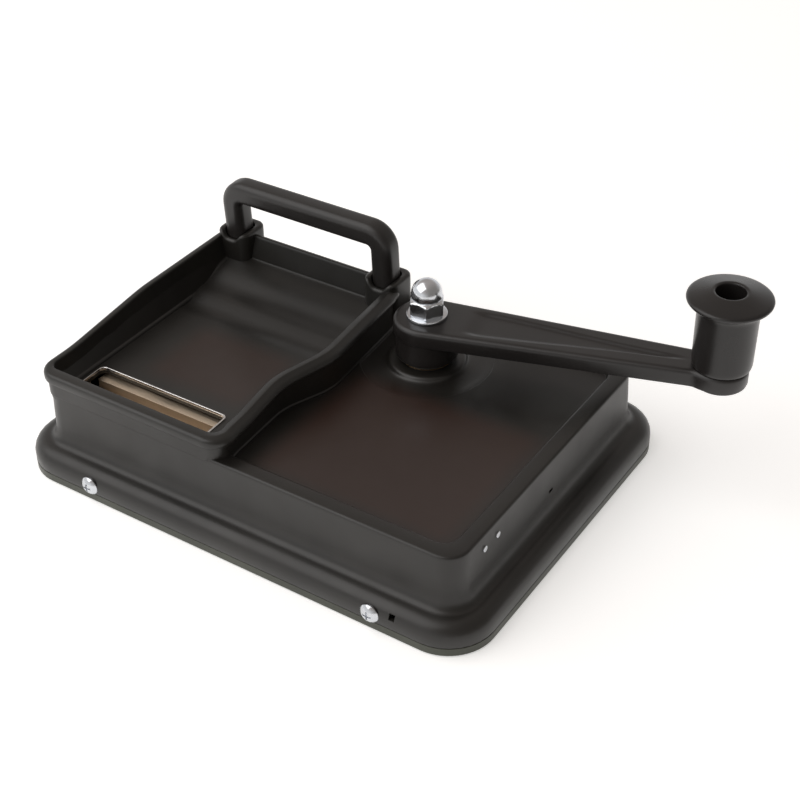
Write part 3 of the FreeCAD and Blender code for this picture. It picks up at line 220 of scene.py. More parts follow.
def rounding(inset, top, radius, steps=5):
    """(inset, height) points of an outer top edge rounded by a radius, from the side to the top."""
    return [(inset + radius - radius * math.cos(t), top - radius + radius * math.sin(t))
            for t in quarter_turns(steps)]


# ---- materials ----

COLOUR_A, COLOUR_B, COLOUR_OUT = 6, 7, 2        # sockets of a mix node that mixes colours
EDGE_START, EDGE_FULL = 0.985, 0.80             # cosines between the true and the bevelled normal


def new_material(name):
    material = bpy.data.materials.new(name)
    material.use_nodes = True
    tree = material.node_tree
    return material, tree, tree.nodes["Principled BSDF"]


def add(tree, kind, **settings):
    """Adds a node and sets its inputs, or its properties where no input has that name."""
    made = tree.nodes.new(kind)
    for key, value in settings.items():
        if key in made.inputs:
            made.inputs[key].default_value = value
        else:
            setattr(made, key, value)
    return made


def wire(tree, start, end):
    tree.links.new(start, end)


def times(tree, first, second):
    made = add(tree, "ShaderNodeMath", operation="MULTIPLY")
    wire(tree, first, made.inputs[0])
    wire(tree, second, made.inputs[1])
    return made.outputs[0]


def noise(tree, scale, detail=3.0, stretch=(1, 1, 1)):
    where = add(tree, "ShaderNodeTexCoord")
    mapping = add(tree, "ShaderNodeMapping", Scale=stretch)
    made = add(tree, "ShaderNodeTexNoise", Scale=scale, Detail=detail)
    wire(tree, where.outputs["Object"], mapping.inputs["Vector"])
    wire(tree, mapping.outputs["Vector"], made.inputs["Vector"])
    return made.outputs["Fac"]


def remap(tree, value, low, high, new_low, new_high):
    made = add(tree, "ShaderNodeMapRange")
    for name, number in (("From Min", low), ("From Max", high), ("To Min", new_low), ("To Max", new_high)):
        made.inputs[name].default_value = number
    wire(tree, value, made.inputs["Value"])
    return made.outputs["Result"]


def mix_colour(tree, factor, first, second):
    """Mixes two colours, each a tuple or the output of a node."""
    made = add(tree, "ShaderNodeMix", data_type="RGBA")
    wire(tree, factor, made.inputs["Factor"])
    for value, socket in ((first, made.inputs[COLOUR_A]), (second, made.inputs[COLOUR_B])):
        if isinstance(value, tuple):
            socket.default_value = (*value, 1)
        else:
            wire(tree, value, socket)
    return made.outputs[COLOUR_OUT]


def edge_mask(tree, radius):
    """1 on sharp edges and 0 on flat faces, and the normal rounded over those edges."""
    bevel = add(tree, "ShaderNodeBevel", Radius=radius * MM)
    geometry = add(tree, "ShaderNodeNewGeometry")
    dot = add(tree, "ShaderNodeVectorMath", operation="DOT_PRODUCT")
    wire(tree, bevel.outputs["Normal"], dot.inputs[0])
    wire(tree, geometry.outputs["Normal"], dot.inputs[1])
    return remap(tree, dot.outputs["Value"], EDGE_START, EDGE_FULL, 0.0, 1.0), bevel.outputs["Normal"]


def bump(tree, height, strength, distance, normal):
    made = add(tree, "ShaderNodeBump", Strength=strength, Distance=distance * MM)
    wire(tree, height, made.inputs["Height"])
    wire(tree, normal, made.inputs["Normal"])
    return made.outputs["Normal"]


def window(tree, ranges, soft):
    """1 inside a box given by its ranges on x, y and z in millimetres, fading out over a soft border."""
    where = add(tree, "ShaderNodeTexCoord")
    split = add(tree, "ShaderNodeSeparateXYZ")
    wire(tree, where.outputs["Object"], split.inputs[0])
    parts = []
    for axis, (low, high) in zip("XYZ", ranges):
        for start, new in ((low, (0, 1)), (high - soft, (1, 0))):
            parts.append(remap(tree, split.outputs[axis], start * MM, (start + soft) * MM, *new))
    product = parts[0]
    for part in parts[1:]:
        product = times(tree, product, part)
    return product


def coated(name, colour, rough, grain=0.10, grain_size=0.4, label_and_sheen_tint=None, label_and_sheen_patch=None):
    """Plastic, paint or rubber: drifting colour, fine grain, lighter worn edges, and a warm tint within a box
    that stands for a blanked label and a painted warm sheen.
    """
    edge_radius, wear, label_and_sheen_border, grain_depth = 0.5, 0.35, 9, 0.12
    light = tuple(c * 1.22 for c in colour)
    dark = tuple(c * 0.80 for c in colour)
    scuffed = tuple(c * 3.2 + 0.01 for c in colour)

    material, tree, shader = new_material(name)
    base = mix_colour(tree, remap(tree, noise(tree, 22, 4), 0.35, 0.65, 0, 1), dark, light)
    # warm patch: the tone of a blanked label together with a painted sheen of warm reflected light
    if label_and_sheen_tint:
        base = mix_colour(tree, window(tree, label_and_sheen_patch, label_and_sheen_border), base, label_and_sheen_tint)
    mask, normal = edge_mask(tree, edge_radius)
    worn = times(tree, mask, remap(tree, noise(tree, 260, 5), 0.42, 0.62, 0, wear))
    wire(tree, mix_colour(tree, worn, base, scuffed), shader.inputs["Base Color"])
    smears = remap(tree, noise(tree, 70, 5), 0.3, 0.7, rough - 0.05, rough + 0.05)
    wire(tree, smears, shader.inputs["Roughness"])
    grains = noise(tree, 1000 / grain_size, 2)
    wire(tree, bump(tree, grains, grain, grain_depth, normal), shader.inputs["Normal"])
    return material


def metal(name, colour, rough, brush=(1, 1, 1), scratch=0.06):
    """Bare or plated metal: brushed or turned lines, slight stains, brighter edges."""
    edge_radius, dirt, line_depth = 0.3, 0.25, 0.05
    stained = tuple(c * 0.55 for c in colour)
    rubbed = tuple(min(1.0, c * 1.15 + 0.04) for c in colour)

    material, tree, shader = new_material(name)
    shader.inputs["Metallic"].default_value = 1.0
    base = mix_colour(tree, remap(tree, noise(tree, 120, 5), 0.40, 0.75, 0, dirt), colour, stained)
    mask, normal = edge_mask(tree, edge_radius)
    wire(tree, mix_colour(tree, mask, base, rubbed), shader.inputs["Base Color"])
    lines = noise(tree, 900, 4, brush)
    wire(tree, remap(tree, lines, 0.3, 0.7, rough * 0.75, rough * 1.3), shader.inputs["Roughness"])
    wire(tree, bump(tree, lines, scratch, line_depth, normal), shader.inputs["Normal"])
    return material


# boxes of the warm patches on the panel and the tray floor: blanked labels with a painted warm sheen of
# reflected light
PANEL_LABEL_AND_SHEEN = ((-2, 90), (-64, 14), (20, 60))
TRAY_LABEL_AND_SHEEN = ((-74, -18), (-40, 5), (20, 60))
ALONG_X, ALONG_Y, ALONG_Z = (0.06, 1, 1), (1, 0.15, 1), (1, 1, 0.2)

MATERIALS = {
    "cover_plastic": coated("cover_plastic", (0.0135, 0.0122, 0.0104), 0.37,
                            label_and_sheen_tint=(0.027, 0.0135, 0.0095), label_and_sheen_patch=PANEL_LABEL_AND_SHEEN),
    "tray_plastic": coated("tray_plastic", (0.0132, 0.0122, 0.0104), 0.37,
                           label_and_sheen_tint=(0.026, 0.0138, 0.0098), label_and_sheen_patch=TRAY_LABEL_AND_SHEEN),
    "handle_plastic": coated("handle_plastic", (0.015, 0.0132, 0.0122), 0.38),
    "arm_paint": coated("arm_paint", (0.015, 0.0132, 0.0125), 0.34, grain=0.05, grain_size=0.7),
    "knob_plastic": coated("knob_plastic", (0.0112, 0.0098, 0.0092), 0.30, grain=0.03),
    "base_paint": coated("base_paint", (0.042, 0.045, 0.031), 0.42),
    "rubber": coated("rubber", (0.020, 0.020, 0.019), 0.75, grain=0.25, grain_size=0.8),
    "bright_zinc": metal("bright_zinc", (0.66, 0.68, 0.71), 0.20),
    "polished_steel": metal("polished_steel", (0.82, 0.81, 0.80), 0.14, ALONG_Y),
    "satin_steel": metal("satin_steel", (0.64, 0.53, 0.41), 0.50, ALONG_X, 0.12),
    "plain_steel": metal("plain_steel", (0.52, 0.52, 0.52), 0.36, (0.2, 1, 1), 0.10),
    "dark_steel": metal("dark_steel", (0.20, 0.20, 0.20), 0.42, ALONG_Z, 0.10),
    "bronze": metal("bronze", (0.60, 0.42, 0.22), 0.34, ALONG_Z, 0.08),
}


def dress_frame():
    """Gives every node of the frame the material of its slot."""
    slots = {part["node"]: part["material_slot"] for part in frame["record"]["subparts"]}
    for name, obj in frame["nodes"].items():
        obj.data.materials.clear()
        obj.data.materials.append(MATERIALS[slots[name]])


# ---- hopper tray ----

STATIONS = [-57 + 2 * k for k in range(50)]     # y of the points along the tray's two sides
CORNER_POINTS = 9


def right_edge(y):
    return eased(RIGHT_EDGE, y, 5)


def rim(y):
    return eased(RIM_LINE, y, 4)


def floor_height(y):
    """The floor: flat, a shallow crease and a soft fold, then a ramp up to the rear wall."""
    slope_start, slope = 10, 0.19
    ramp = min(FLOOR + 6.8 * smooth((y - 8) / 60) * 1.6, FLOOR + (y - slope_start) * slope)
    fold = 0.55 * math.exp(-((y - 20.5) / 3.4) ** 2)
    creases = 0.60 * math.exp(-((y - 12.0) / 2.4) ** 2) + 0.42 * math.exp(-((y - 28) / 4.0) ** 2)
    return (FLOOR if y < 8 else ramp) + fold - creases


def above_rim(lift):
    return lambda y: rim(y) + lift


def above_floor(lift):
    return lambda y: floor_height(y) + lift


def level_at(height):
    return lambda y: height


def tray_ring(left, front, right, back, corner, height, dip=0.0):
    """One level of the tray: insets from its plan outline, a corner radius and a height for each y.

    The dip lowers the right side only, and fades out round its two corners.
    """
    x0, y0, y1 = TRAY_LEFT + left, TRAY_FRONT + front, TRAY_BACK - back
    x_front, x_back = right_edge(-70) - right, right_edge(52) - right
    plan = arc(x0 + corner, y0 + corner, corner, 180, 270)
    plan += arc(x_front - corner, y0 + corner, corner, 270, 360)
    plan += [(right_edge(y) - right, y) for y in STATIONS]
    plan += arc(x_back - corner, y1 - corner, corner, 0, 90)
    plan += arc(x0 + corner, y1 - corner, corner, 90, 180)
    plan += [(x0, y) for y in reversed(STATIONS)]
    fade = [k / (CORNER_POINTS - 1) for k in range(CORNER_POINTS)]
    shares = [0.0] * CORNER_POINTS + fade + [1.0] * len(STATIONS) + fade[::-1]
    shares += [0.0] * (CORNER_POINTS + len(STATIONS))
    return [(x, y, height(y) - dip * share) for (x, y), share in zip(plan, shares)]


def tray_floor(start):
    """Closes the inside of the tray: one strip across for each pair of stations, and a face at each end."""
    count = len(STATIONS)
    right = start + 2 * CORNER_POINTS
    left = right + count + 2 * CORNER_POINTS
    last_right, last_left = right + count - 1, left + count - 1
    faces = [(right + i, right + i + 1, last_left - i - 1, last_left - i) for i in range(count - 1)]
    faces.append(tuple(range(start, right + 1)) + (last_left,))
    faces.append(tuple(range(last_right, left + 1)))
    return faces


def grown(insets, by):
    return [a + b for a, b in zip(insets, by)]


def make_tray():
    """Liner, bead, inner lip, wall and floor, with a countersunk opening for the slot."""
    liner = (2.2, 4.3, 5.1, 3.5)
    lip = (3.4, 5.6, 6.4, 2.9)
    foot = (4.8, 6.1, 7.8, 5.6)
    rings = [tray_ring(*liner, 5.5, level_at(FLOOR - 2.2)), tray_ring(*liner, 5.5, above_rim(-BEAD_HEIGHT))]
    for inset, corner, lift in ((0.6, 8.4, 0.0), (0.15, 8.8, 0.2), (0.0, BEAD_CORNER, 0.7)):
        rings.append(tray_ring(*[inset] * 4, corner, above_rim(lift - BEAD_HEIGHT)))
    for inset, lift in rounding(0, 0, 1.7):
        rings.append(tray_ring(*[inset] * 4, BEAD_CORNER - inset, above_rim(lift), 1.5 - inset * 0.35))
    rings.append(tray_ring(2.1, 2.6, 3.0, 2.0, 6.6, rim, 0.05))
    rings.append(tray_ring(2.3, 3.2, 3.5, 2.1, 6.0, rim, 0.05))
    inner_edge = ((-0.9, 0.0, 4.9), (-0.35, -0.12, 4.35), (-0.08, -0.45, 4.1), (0.0, -1.0, 4.0))
    for inset, lift, corner in inner_edge:
        rings.append(tray_ring(*grown(lip, [inset] * 4), corner, above_rim(lift), 0.7))
    cove = (((0, 0, 0, 0), 4.2, 1.5), ((0.3, 0.15, 0.3, 0.1), 3.9, 0.6),
            ((0.9, 0.4, 0.9, 0.2), 3.4, 0.12), ((1.7, 0.8, 1.7, 0.3), 2.8, 0.0))
    for by, corner, lift in cove:
        rings.append(tray_ring(*grown(foot, by), corner, above_floor(lift)))
    points, faces = bridge(rings, True, False)
    faces += tray_floor((len(rings) - 1) * len(rings[0]))
    tray = mesh_piece("hopper_tray_skin", points, faces, "housing", "tray_plastic", ("hopper_tray",))

    opening = []
    for grow, z in ((0.05, 30), (0.05, TRAY_FOOT - 0.02), (0.62, TRAY_FOOT), (0.62, 40)):
        plan = rounded_rectangle(*SLOT_MIDDLE, SLOT_HALF[0] + grow, SLOT_HALF[1] + grow, 2.6)
        opening.append([(*p, z) for p in plan])
    carve(tray, [bridge(opening)])


def make_slot_trim():
    """Bright liner with rounded inner corners round the slot, and a front side that lies lower."""
    front_drop, drop_length = 0.75, 3
    drop_start = SLOT_MIDDLE[1] - 6
    steps = ((0.6, 2.2, TRAY_FOOT), (0.6, 2.2, 35.45), (0.5, 2.2, 35.57), (0.35, 2.4, 35.6),
             (0.15, 2.4, 35.6), (0.04, 2.5, 35.52), (0.0, 2.6, 35.35), (0.0, 2.6, TRAY_FOOT),
             (0.6, 2.2, TRAY_FOOT))
    rings = []
    for grow, corner, top in steps:
        plan = rounded_rectangle(*SLOT_MIDDLE, SLOT_HALF[0] + grow, SLOT_HALF[1] + grow, corner)
        rings.append([(x, y, top - (top - TRAY_FOOT) * front_drop * smooth((drop_start - y) / drop_length))
                      for x, y in plan])
    points, faces = bridge(rings, False, False)
    mesh_piece("slot_trim_skin", points, faces, "housing", "polished_steel", ("slot_trim",))


def make_sockets():
    """Blocks in the tray's rear corners with a pocket for each leg and a low lip in front of it."""
    top, notch_depth, notch_half = 54, 3.4, 4.2
    half_x, half_y, corner = 8.0, 8.25, 4.5
    middle_y, pocket_y = 50.75, HANDLE_Y - 0.3
    pocket_half_x, pocket_half_y, pocket_corner, pocket_floor = 5.75, 6.0, 3.6, 42
    edge = 1.4
    shapes = []
    for x in HANDLE_X:
        def height(px, py):
            near_front = smooth((46.5 - py) / 2.5)
            return top - notch_depth * near_front * math.exp(-((px - x) / notch_half) ** 4)

        plan = rounded_rectangle(x, middle_y, half_x, half_y, corner)
        rings = [[(*p, TRAY_FOOT) for p in plan], [(*p, height(*p) - edge) for p in plan]]
        for inset, drop in rounding(0, 0, edge, 4)[1:]:
            plan = rounded_rectangle(x, middle_y, half_x - inset, half_y - inset, corner - inset)
            rings.append([(*p, height(*p) + drop) for p in plan])
        to_block = (middle_y - half_y) - (pocket_y - pocket_half_y)
        for inset, drop in ((0.0, 0.0), (0.3, -0.12), (0.42, -0.5)):
            plan = rounded_rectangle(x, pocket_y, pocket_half_x - inset, pocket_half_y - inset,
                                     pocket_corner - inset)
            rings.append([(px, py, height(px, py + to_block) + drop) for px, py in plan])
        plan = rounded_rectangle(x, pocket_y, pocket_half_x - inset, pocket_half_y - inset, 3.2)
        rings.append([(*p, pocket_floor) for p in plan])
        shapes.append(bridge(rings))
    mesh_piece("handle_sockets_skin", *join(*shapes), "housing", "tray_plastic")


# ---- cover ----

COVER_WALL = 1.8
COLLAR_END_X, COLLAR_END_Y = -14.4, 42.8        # the cover's wall runs up to the tray short of these
FRONT_POINTS = [-78, -40, -15.6, -15.2, -14.8, -14.4, -12, 0, 20, 50, 78]
BACK_POINTS = [78, 50, 20, 0, -12, -40, -78]
RIGHT_POINTS = [-48, -20, 0, 20, 48]
LEFT_POINTS = [48, 42.8, 42.4, 42.0, 41.6, 30, 15, 0, -15, -30, -48]


def cover_plan(inset, corner):
    """The cover's outline moved in, with points spread along the sides."""
    half_x, half_y = BASE_LENGTH / 2 - inset, BASE_DEPTH / 2 - inset
    span_x, span_y = half_x - corner, half_y - corner
    plan = arc(-span_x, -span_y, corner, 180, 270) + [(x, -half_y) for x in FRONT_POINTS]
    plan += arc(span_x, -span_y, corner, 270, 360) + [(half_x, y) for y in RIGHT_POINTS]
    plan += arc(span_x, span_y, corner, 0, 90) + [(x, half_y) for x in BACK_POINTS]
    plan += arc(-span_x, span_y, corner, 90, 180) + [(-half_x, y) for y in LEFT_POINTS]
    return plan


def under_tray(x, y):
    """1 where the cover's wall runs up to the tray's bead, 0 where it ends in the low rim."""
    return min(smooth((COLLAR_END_X - x) / 0.8), smooth((COLLAR_END_Y - y) / 0.8))


def flat_ring(inset, corner, height):
    return [(*p, height) for p in cover_plan(inset, corner)]


def raised_ring(inset, corner, height, drop=0.0):
    """A ring at a height that runs up to a drop under the tray's bead where the tray stands on the wall."""
    ring = []
    for x, y in cover_plan(inset, corner):
        share = under_tray(x, y)
        ring.append((x, y, height * (1 - share) + (rim(y) - BEAD_HEIGHT + drop) * share))
    return ring


def cover_rings():
    """Levels of the cover from its foot to the sunk panel: skirt, ogee, drafted wall, rim and step."""
    rings = [flat_ring(0.5, BASE_CORNER - 0.5, 3.8), flat_ring(0.1, BASE_CORNER - 0.1, 3.9),
             flat_ring(0.0, BASE_CORNER, 4.3)]
    rings += [flat_ring(inset, BASE_CORNER - inset * 0.9, height) for inset, height in rounding(0, 13, 6, 8)]
    ogee = ((7.0, 13.15), (7.8, 13.6), (8.5, 14.3), (9.1, 15.3), (9.55, 16.6), (9.85, 18.2), (10.05, 20.5))
    rings += [flat_ring(inset, 13.6 - (inset - 6) * 1.1, height) for inset, height in ogee]
    rings += [flat_ring(10.25, 9.0, 26), flat_ring(10.55, 9.0, 34.0)]
    for inset, drop in rounding(10.6, 0, 1.1, 4):
        rings.append(raised_ring(inset, 9.0 - (inset - 10.6), RIM_TOP + drop, drop * 0.05))
    rings.append(raised_ring(13.2, 7.2, RIM_TOP))
    step = ((16.6, 0.0), (17.1, -0.12), (17.5, -0.5), (17.7, -1.0), (17.8, -1.8), (18.1, -2.2))
    rings += [flat_ring(inset, 6.4 - (inset - 16.6) * 0.6, RIM_TOP + drop) for inset, drop in step]
    rings.append(flat_ring(18.8, 5.0, PANEL))
    return rings


def panel_faces(points, rings):
    """Flat panel to the right of the tray and behind it, with a round opening for the pivot mount.

    The panel is split in two through the pivot, and its left half stops at the tray's rear right corner.
    """
    tray_corner, circle_points, near = (-12, 46), 96, 0.01
    edge, edge_start = rings[-1], (len(rings) - 1) * len(rings[0])
    opening_start = len(points)
    points += [(*p, PANEL) for p in circle(*PIVOT, MOUNT_RADIUS, circle_points)]
    inner_corner = len(points)
    points.append((*tray_corner, PANEL))

    def edge_point(x, side):
        return next(i for i, (px, py, z) in enumerate(edge) if abs(px - x) < near and py * side > 0)

    def along_edge(first, last):
        return [edge_start + i for i in range(first, last + 1)]

    def half_circle(quarters):
        first = quarters * circle_points // 4
        return [opening_start + (first - k) % circle_points for k in range(circle_points // 2 + 1)]

    front, back = edge_point(PIVOT[0], -1), edge_point(PIVOT[0], 1)
    front_left = edge_point(tray_corner[0], -1)
    left_end = max(i for i, point in enumerate(edge) if point[1] > tray_corner[1])
    right_half = along_edge(front, back) + half_circle(1)
    left_half = along_edge(back, left_end) + [inner_corner] + along_edge(front_left, front) + half_circle(3)
    return [tuple(right_half), tuple(left_half)]


def pivot_mount():
    """Soft dish in the panel round a raised ring for the upper bush."""
    profile = [(MOUNT_RADIUS, 0), (26.0, -0.04), (24.6, -0.22), (23.2, -0.36), (20.5, -0.40), (18.0, -0.34),
               (16.9, -0.15), (16.3, 0.2), (16.0, 0.7), (15.7, 1.1), (15.1, 1.36), (14.4, 1.43), (10.4, 1.45),
               (10.4, 0.5), (8.5, 0.5), (8.5, -8)]
    return revolve(*PIVOT, [(radius, PANEL + rise) for radius, rise in profile])


def tray_collar():
    """Hollow ledge on which the tray's bead rests, reaching down to the panel inside it."""
    outer, inner, lower = (0.65, 2.05, 2.0, 1.9), (2.0, 4.0, 4.0, 3.0), (0.9, 2.4, 1.6, 1.6)
    under_bead = above_rim(0.2 - BEAD_HEIGHT)
    start = tray_ring(*outer, 7.0, level_at(35.0))
    return bridge([start, tray_ring(*outer, 7.0, under_bead), tray_ring(*inner, 5.8, under_bead),
                   tray_ring(*inner, 5.8, level_at(33.0)), tray_ring(*lower, 7.0, level_at(33.0)),
                   tray_ring(*lower, 7.0, level_at(34.6)), start], False, False)


def make_cover():
    rings = cover_rings()
    points, faces = bridge(rings, False, False)
    faces += panel_faces(points, rings)
    cover = mesh_piece("top_cover_skin", points, faces, "housing", "cover_plastic", ("top_cover",))
    thicken(cover, COVER_WALL)
    square_hole = block((74, -80, 8.1), (76.4, -75, 10.5))
    vent_slit = block((92, -3.3, 21.8), (98, -0.7, 23.1))
    nozzle_port = rod_along_x(-99, -89, -57.5, 26.5, 6.0)
    carve(cover, [square_hole, vent_slit, nozzle_port])
    mesh_piece("top_cover_collar", *join(pivot_mount(), tray_collar()), "housing", "cover_plastic")


# ---- carrying handle ----

def handle_path(half, height, bend):
    """(x, z, turn) along the handle's middle line: left leg, bend, grip, bend and right leg."""
    straight = height - bend
    grip = 2 * (half - bend)
    path = [(-half, straight * k / 6, 0.0) for k in range(6)]
    path += [(-half + bend - bend * math.cos(t), straight + bend * math.sin(t), t) for t in quarter_turns(12)]
    path += [(-half + bend + grip * k / 6, height, math.pi / 2) for k in range(1, 6)]
    path += [(half - bend + bend * math.sin(t), straight + bend * math.cos(t), t + math.pi / 2)
             for t in quarter_turns(12)]
    path += [(half, straight * (5 - k) / 6, math.pi) for k in range(6)]
    return path


def make_handle():
    """Square bar with round corners, bent to a U and leaning back a little."""
    foot, top, section, corner, bend = 41.3, 78.4, 10.0, 3.2, 6.5
    lean = math.radians(3)
    left, right = HANDLE_X
    bar = rounded_rectangle(0, 0, section / 2, section / 2, corner, 6)
    rings = []
    for x, z, turn in handle_path((right - left) / 2, top - foot - section / 2, bend):
        ring = []
        for across, depth in bar:
            px, pz = x + across * math.cos(turn), z - across * math.sin(turn)
            ring.append(((left + right) / 2 + px, HANDLE_Y + depth * math.cos(lean) - pz * math.sin(lean),
                         foot + depth * math.sin(lean) + pz * math.cos(lean)))
        rings.append(ring)
    mesh_piece("carry_handle_skin", *bridge(rings), "housing", "handle_plastic", ("carry_handle",))


# ---- crank ----

ARM_STATIONS = [2 + 2 * k for k in range(47)] + [95 + 1.5 * k for k in range(1, 14)]
END_STEPS = 24


def at_arm(along, across, z):
    """A place given along and across the arm from the pivot."""
    c, s = math.cos(ARM_ANGLE), math.sin(ARM_ANGLE)
    return (PIVOT[0] + along * c - across * s, PIVOT[1] + along * s + across * c, z)


def arm_half_width(along, inset=0.0):
    """Straight taper from the hub, eased into the round pad under the knob."""
    narrow = 7.6
    taper = HUB_RADIUS + (narrow - HUB_RADIUS) * along / ARM_LENGTH
    pad = math.sqrt(max(0.0, PAD_RADIUS ** 2 - (along - ARM_LENGTH) ** 2))
    return soft_max(taper, pad, 5.0) - inset


def arm_plan(inset):
    plan = arc(0, 0, HUB_RADIUS - inset, 90, 270, END_STEPS)
    plan += [(x, -arm_half_width(x, inset)) for x in ARM_STATIONS]
    plan += arc(ARM_LENGTH, 0, arm_half_width(ARM_LENGTH, inset), -90, 90, END_STEPS)
    plan += [(x, arm_half_width(x, inset)) for x in reversed(ARM_STATIONS)]
    return plan


def recess(along, share):
    """Depth of the shallow dish along the arm's top; share runs from -1 to 1 across it."""
    depth = 0.85
    width = 0.62 * (1 - smooth((along - 22) / 84)) + 0.10
    ends = smooth((along - 17) / 6) * smooth((104 - along) / 14)
    return depth * ends * smooth((width - abs(share)) / 0.22 + 0.5)


def arm_top(points, start, edge_radius):
    """Faces of the dished top: rows across the arm from one edge of the last ring to the other."""
    columns, count, end_points = 28, len(ARM_STATIONS), END_STEPS + 1
    near = start + end_points
    far = near + count + end_points
    low = [near - 1 + i for i in range(count + 2)]
    high = [start] + [far + count - 1 - i for i in range(count)] + [far - 1]
    rows = []
    for along, first, last in zip([0.0] + ARM_STATIONS + [ARM_LENGTH], low, high):
        half = arm_half_width(along, edge_radius) if along > 0 else HUB_RADIUS - edge_radius
        row = [first]
        for k in range(1, columns):
            share = -1 + 2 * k / columns
            points.append(at_arm(along, half * share, ARM_TOP - recess(along, share)))
            row.append(len(points) - 1)
        rows.append(row + [last])
    faces = [(a[k], a[k + 1], b[k + 1], b[k]) for a, b in zip(rows, rows[1:]) for k in range(columns)]
    faces.append(tuple(range(start, near)) + tuple(rows[0][1:-1]))
    faces.append(tuple(range(near + count, far)) + tuple(reversed(rows[-1][1:-1])))
    return faces


def make_arm():
    """Flat lever with a dished top, a boss under its hub and a pad under the knob."""
    edge_radius = 2.0
    levels = [(0.9, ARM_BOTTOM), (0.3, ARM_BOTTOM + 0.15), (0.0, ARM_BOTTOM + 0.8)]
    levels += rounding(0, ARM_TOP, edge_radius, 7)
    rings = [[at_arm(x, y, z) for x, y in arm_plan(inset)] for inset, z in levels]
    points, faces = bridge(rings, True, False)
    faces += arm_top(points, (len(rings) - 1) * len(rings[0]), edge_radius)
    boss = [(12.5, 49), (12.55, 40.5), (12.75, 38.4), (12.6, 38.0), (12.2, 37.8), (6.1, 37.8)]
    pad = [(8.6, 47.5), (9.9, 47.55), (10.25, 47.9), (PAD_RADIUS, 48.6), (PAD_RADIUS, 49.5)]
    whole = join((points, faces), revolve(*PIVOT, boss, closed=True),
                 revolve(*at_arm(ARM_LENGTH, 0, 0)[:2], pad, closed=True))
    mesh_piece("crank_arm_skin", *whole, "crank", "arm_paint", ("crank_arm",))


def turned_ring(place, profile):
    """A turned part with a hole through it, from a profile that closes on itself."""
    return revolve(*place, profile + [profile[0]], 128)


def make_knob():
    """Straight grip that flares to a domed flange, with a deep hole in its top."""
    foot = [(4.05, 55.05), (9.9, 55.05), (10.5, 55.15), (10.95, 55.5), (11.25, 56.1), (11.42, 57.0)]
    grip = [(11.5, 58.2), (11.52, 62), (11.58, 70), (11.62, 78.6), (11.75, 79.8)]
    flare = [(12.15, 80.9), (12.9, 81.8), (13.9, 82.5), (14.9, 83.0), (15.6, 83.45), (16.0, 84.0)]
    flange = [(16.1, 84.5), (15.95, 84.95), (15.55, 85.3), (14.6, 85.6), (12.0, 86.3), (9.0, 87.05)]
    mouth = [(7.2, 87.5), (6.7, 87.6), (6.2, 87.55), (5.8, 87.3), (5.6, 86.8)]
    hole = [(5.6, 69.0), (4.05, 69.0)]
    whole = turned_ring(at_arm(ARM_LENGTH, 0, 0)[:2], foot + grip + flare + flange + mouth + hole)
    mesh_piece("knob_skin", *whole, "knob", "knob_plastic", ("knob",))


def make_cap_nut():
    """M8 domed nut: a hexagon with turned corners, a neck and a dome."""
    flats, base, height, dome = 13.0, 56.6, 15.0, 6.25
    count, sector = 144, math.pi / 3
    hexagon = ((0.0, 7.0), (0.15, 7.15), (0.5, 9.0), (5.4, 9.0),
               (5.8, 7.5), (6.15, 6.9), (6.45, 6.45), (6.6, 6.1))
    rings = []
    for z, cone in hexagon:
        ring = []
        for turn in (2 * math.pi * k / count for k in range(count)):
            radius = min(flats / 2 / math.cos(turn % sector - sector / 2), cone)
            ring.append((PIVOT[0] + radius * math.cos(turn), PIVOT[1] + radius * math.sin(turn), base + z))
        rings.append(ring)
    turned = [(5.95, 6.75), (6.05, 7.1), (6.2, 7.6)]
    turned += [(dome * math.cos(t), height - dome + dome * math.sin(t)) for t in quarter_turns(14)[:-1]]
    turned.append((0.25, height))
    rings += [[(*p, base + z) for p in circle(*PIVOT, radius, count)] for radius, z in turned]
    mesh_piece("cap_nut_skin", *bridge(rings), "crank", "bright_zinc", ("cap_nut",))


def make_washer():
    profile = [(4.4, 55.0), (7.9, 55.0), (8.2, 55.12), (8.3, 55.4), (8.3, 56.1), (8.15, 56.45), (7.7, 56.6),
               (4.4, 56.6)]
    whole = turned_ring(PIVOT, profile)
    mesh_piece("cap_nut_washer_skin", *whole, "crank", "bright_zinc", ("cap_nut_washer",))


# ---- stage ----

def make_camera():
    """Stands to the right of the front and looks down, with a slight roll."""
    azimuth, elevation, roll = (math.radians(a) for a in (33.789, 36.414, -1.01))
    distance, lens, target_height = 603.924, 68.39212, 30
    shift_left, shift_down = 23.21606, 3.73363
    back = Vector((math.sin(azimuth) * math.cos(elevation), -math.cos(azimuth) * math.cos(elevation),
                   math.sin(elevation)))
    level = Vector((math.cos(azimuth), math.sin(azimuth), 0))
    rise = back.cross(level)
    right = math.cos(roll) * level + math.sin(roll) * rise
    up = -math.sin(roll) * level + math.cos(roll) * rise
    spot = Vector((0, 0, target_height)) + back * distance + right * shift_left - up * shift_down
    data = bpy.data.cameras.new("camera")
    data.sensor_width = 36
    data.lens = lens
    data.clip_start = 10 * MM
    obj = bpy.data.objects.new("camera", data)
    bpy.context.scene.collection.objects.link(obj)
    obj.matrix_world = Matrix.Translation(spot * MM) @ Matrix((right, up, back)).transposed().to_4x4()
    bpy.context.scene.camera = obj


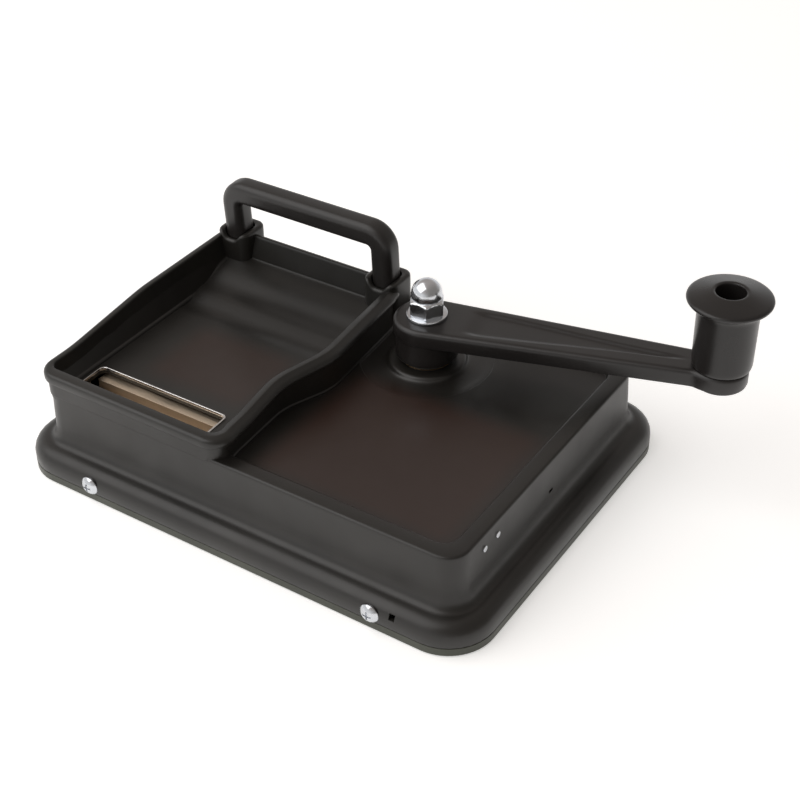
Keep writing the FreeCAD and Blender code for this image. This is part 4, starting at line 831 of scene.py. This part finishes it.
def make_key_light():
    """One large soft light in front, to the left and above; places in metres."""
    spot = Vector((-0.6, -0.6, 1.1))
    data = bpy.data.lights.new("key", "AREA")
    data.shape = "RECTANGLE"
    data.size, data.size_y = 1.6, 1.3
    data.energy = 11
    obj = bpy.data.objects.new("key", data)
    obj.location = spot
    obj.rotation_euler = (-spot).to_track_quat("-Z", "Y").to_euler()
    bpy.context.scene.collection.objects.link(obj)


def make_world():
    """White near the horizon, dimmer and warmer higher up and to the right, as under a dark ceiling."""
    white, ceiling, right_side, strength = (1.0, 1.0, 1.0), (0.50, 0.45, 0.42), (0.30, 0.28, 0.26), 0.9
    world = bpy.data.worlds.new("world")
    bpy.context.scene.world = world
    world.use_nodes = True
    tree = world.node_tree
    where = add(tree, "ShaderNodeTexCoord")
    split = add(tree, "ShaderNodeSeparateXYZ")
    wire(tree, where.outputs["Generated"], split.inputs[0])
    colour = mix_colour(tree, remap(tree, split.outputs["Z"], 0.22, 0.55, 0, 1), white, ceiling)
    colour = mix_colour(tree, remap(tree, split.outputs["X"], 0.0, 0.75, 0, 1), colour, right_side)
    background = tree.nodes["Background"]
    wire(tree, colour, background.inputs["Color"])
    background.inputs["Strength"].default_value = strength


def make_floor():
    """Pale floor that glows a little, so that it stays near white."""
    bpy.ops.mesh.primitive_plane_add(size=6, location=(0, 0, 0))
    floor = bpy.context.object
    floor.name = "floor"
    material, tree, shader = new_material("floor")
    tone = mix_colour(tree, noise(tree, 3, 2), (0.90, 0.90, 0.90), (0.94, 0.94, 0.94))
    wire(tree, tone, shader.inputs["Base Color"])
    shader.inputs["Roughness"].default_value = 0.9
    shader.inputs["Emission Color"].default_value = (1, 1, 0.985, 1)
    shader.inputs["Emission Strength"].default_value = 0.42
    floor.data.materials.append(material)


dress_frame()
make_tray()
make_sockets()
make_slot_trim()
make_cover()
make_handle()
make_arm()
make_knob()
make_cap_nut()
make_washer()

make_camera()
make_world()
make_floor()
make_key_light()
bpy.context.scene.view_settings.view_transform = "Standard"
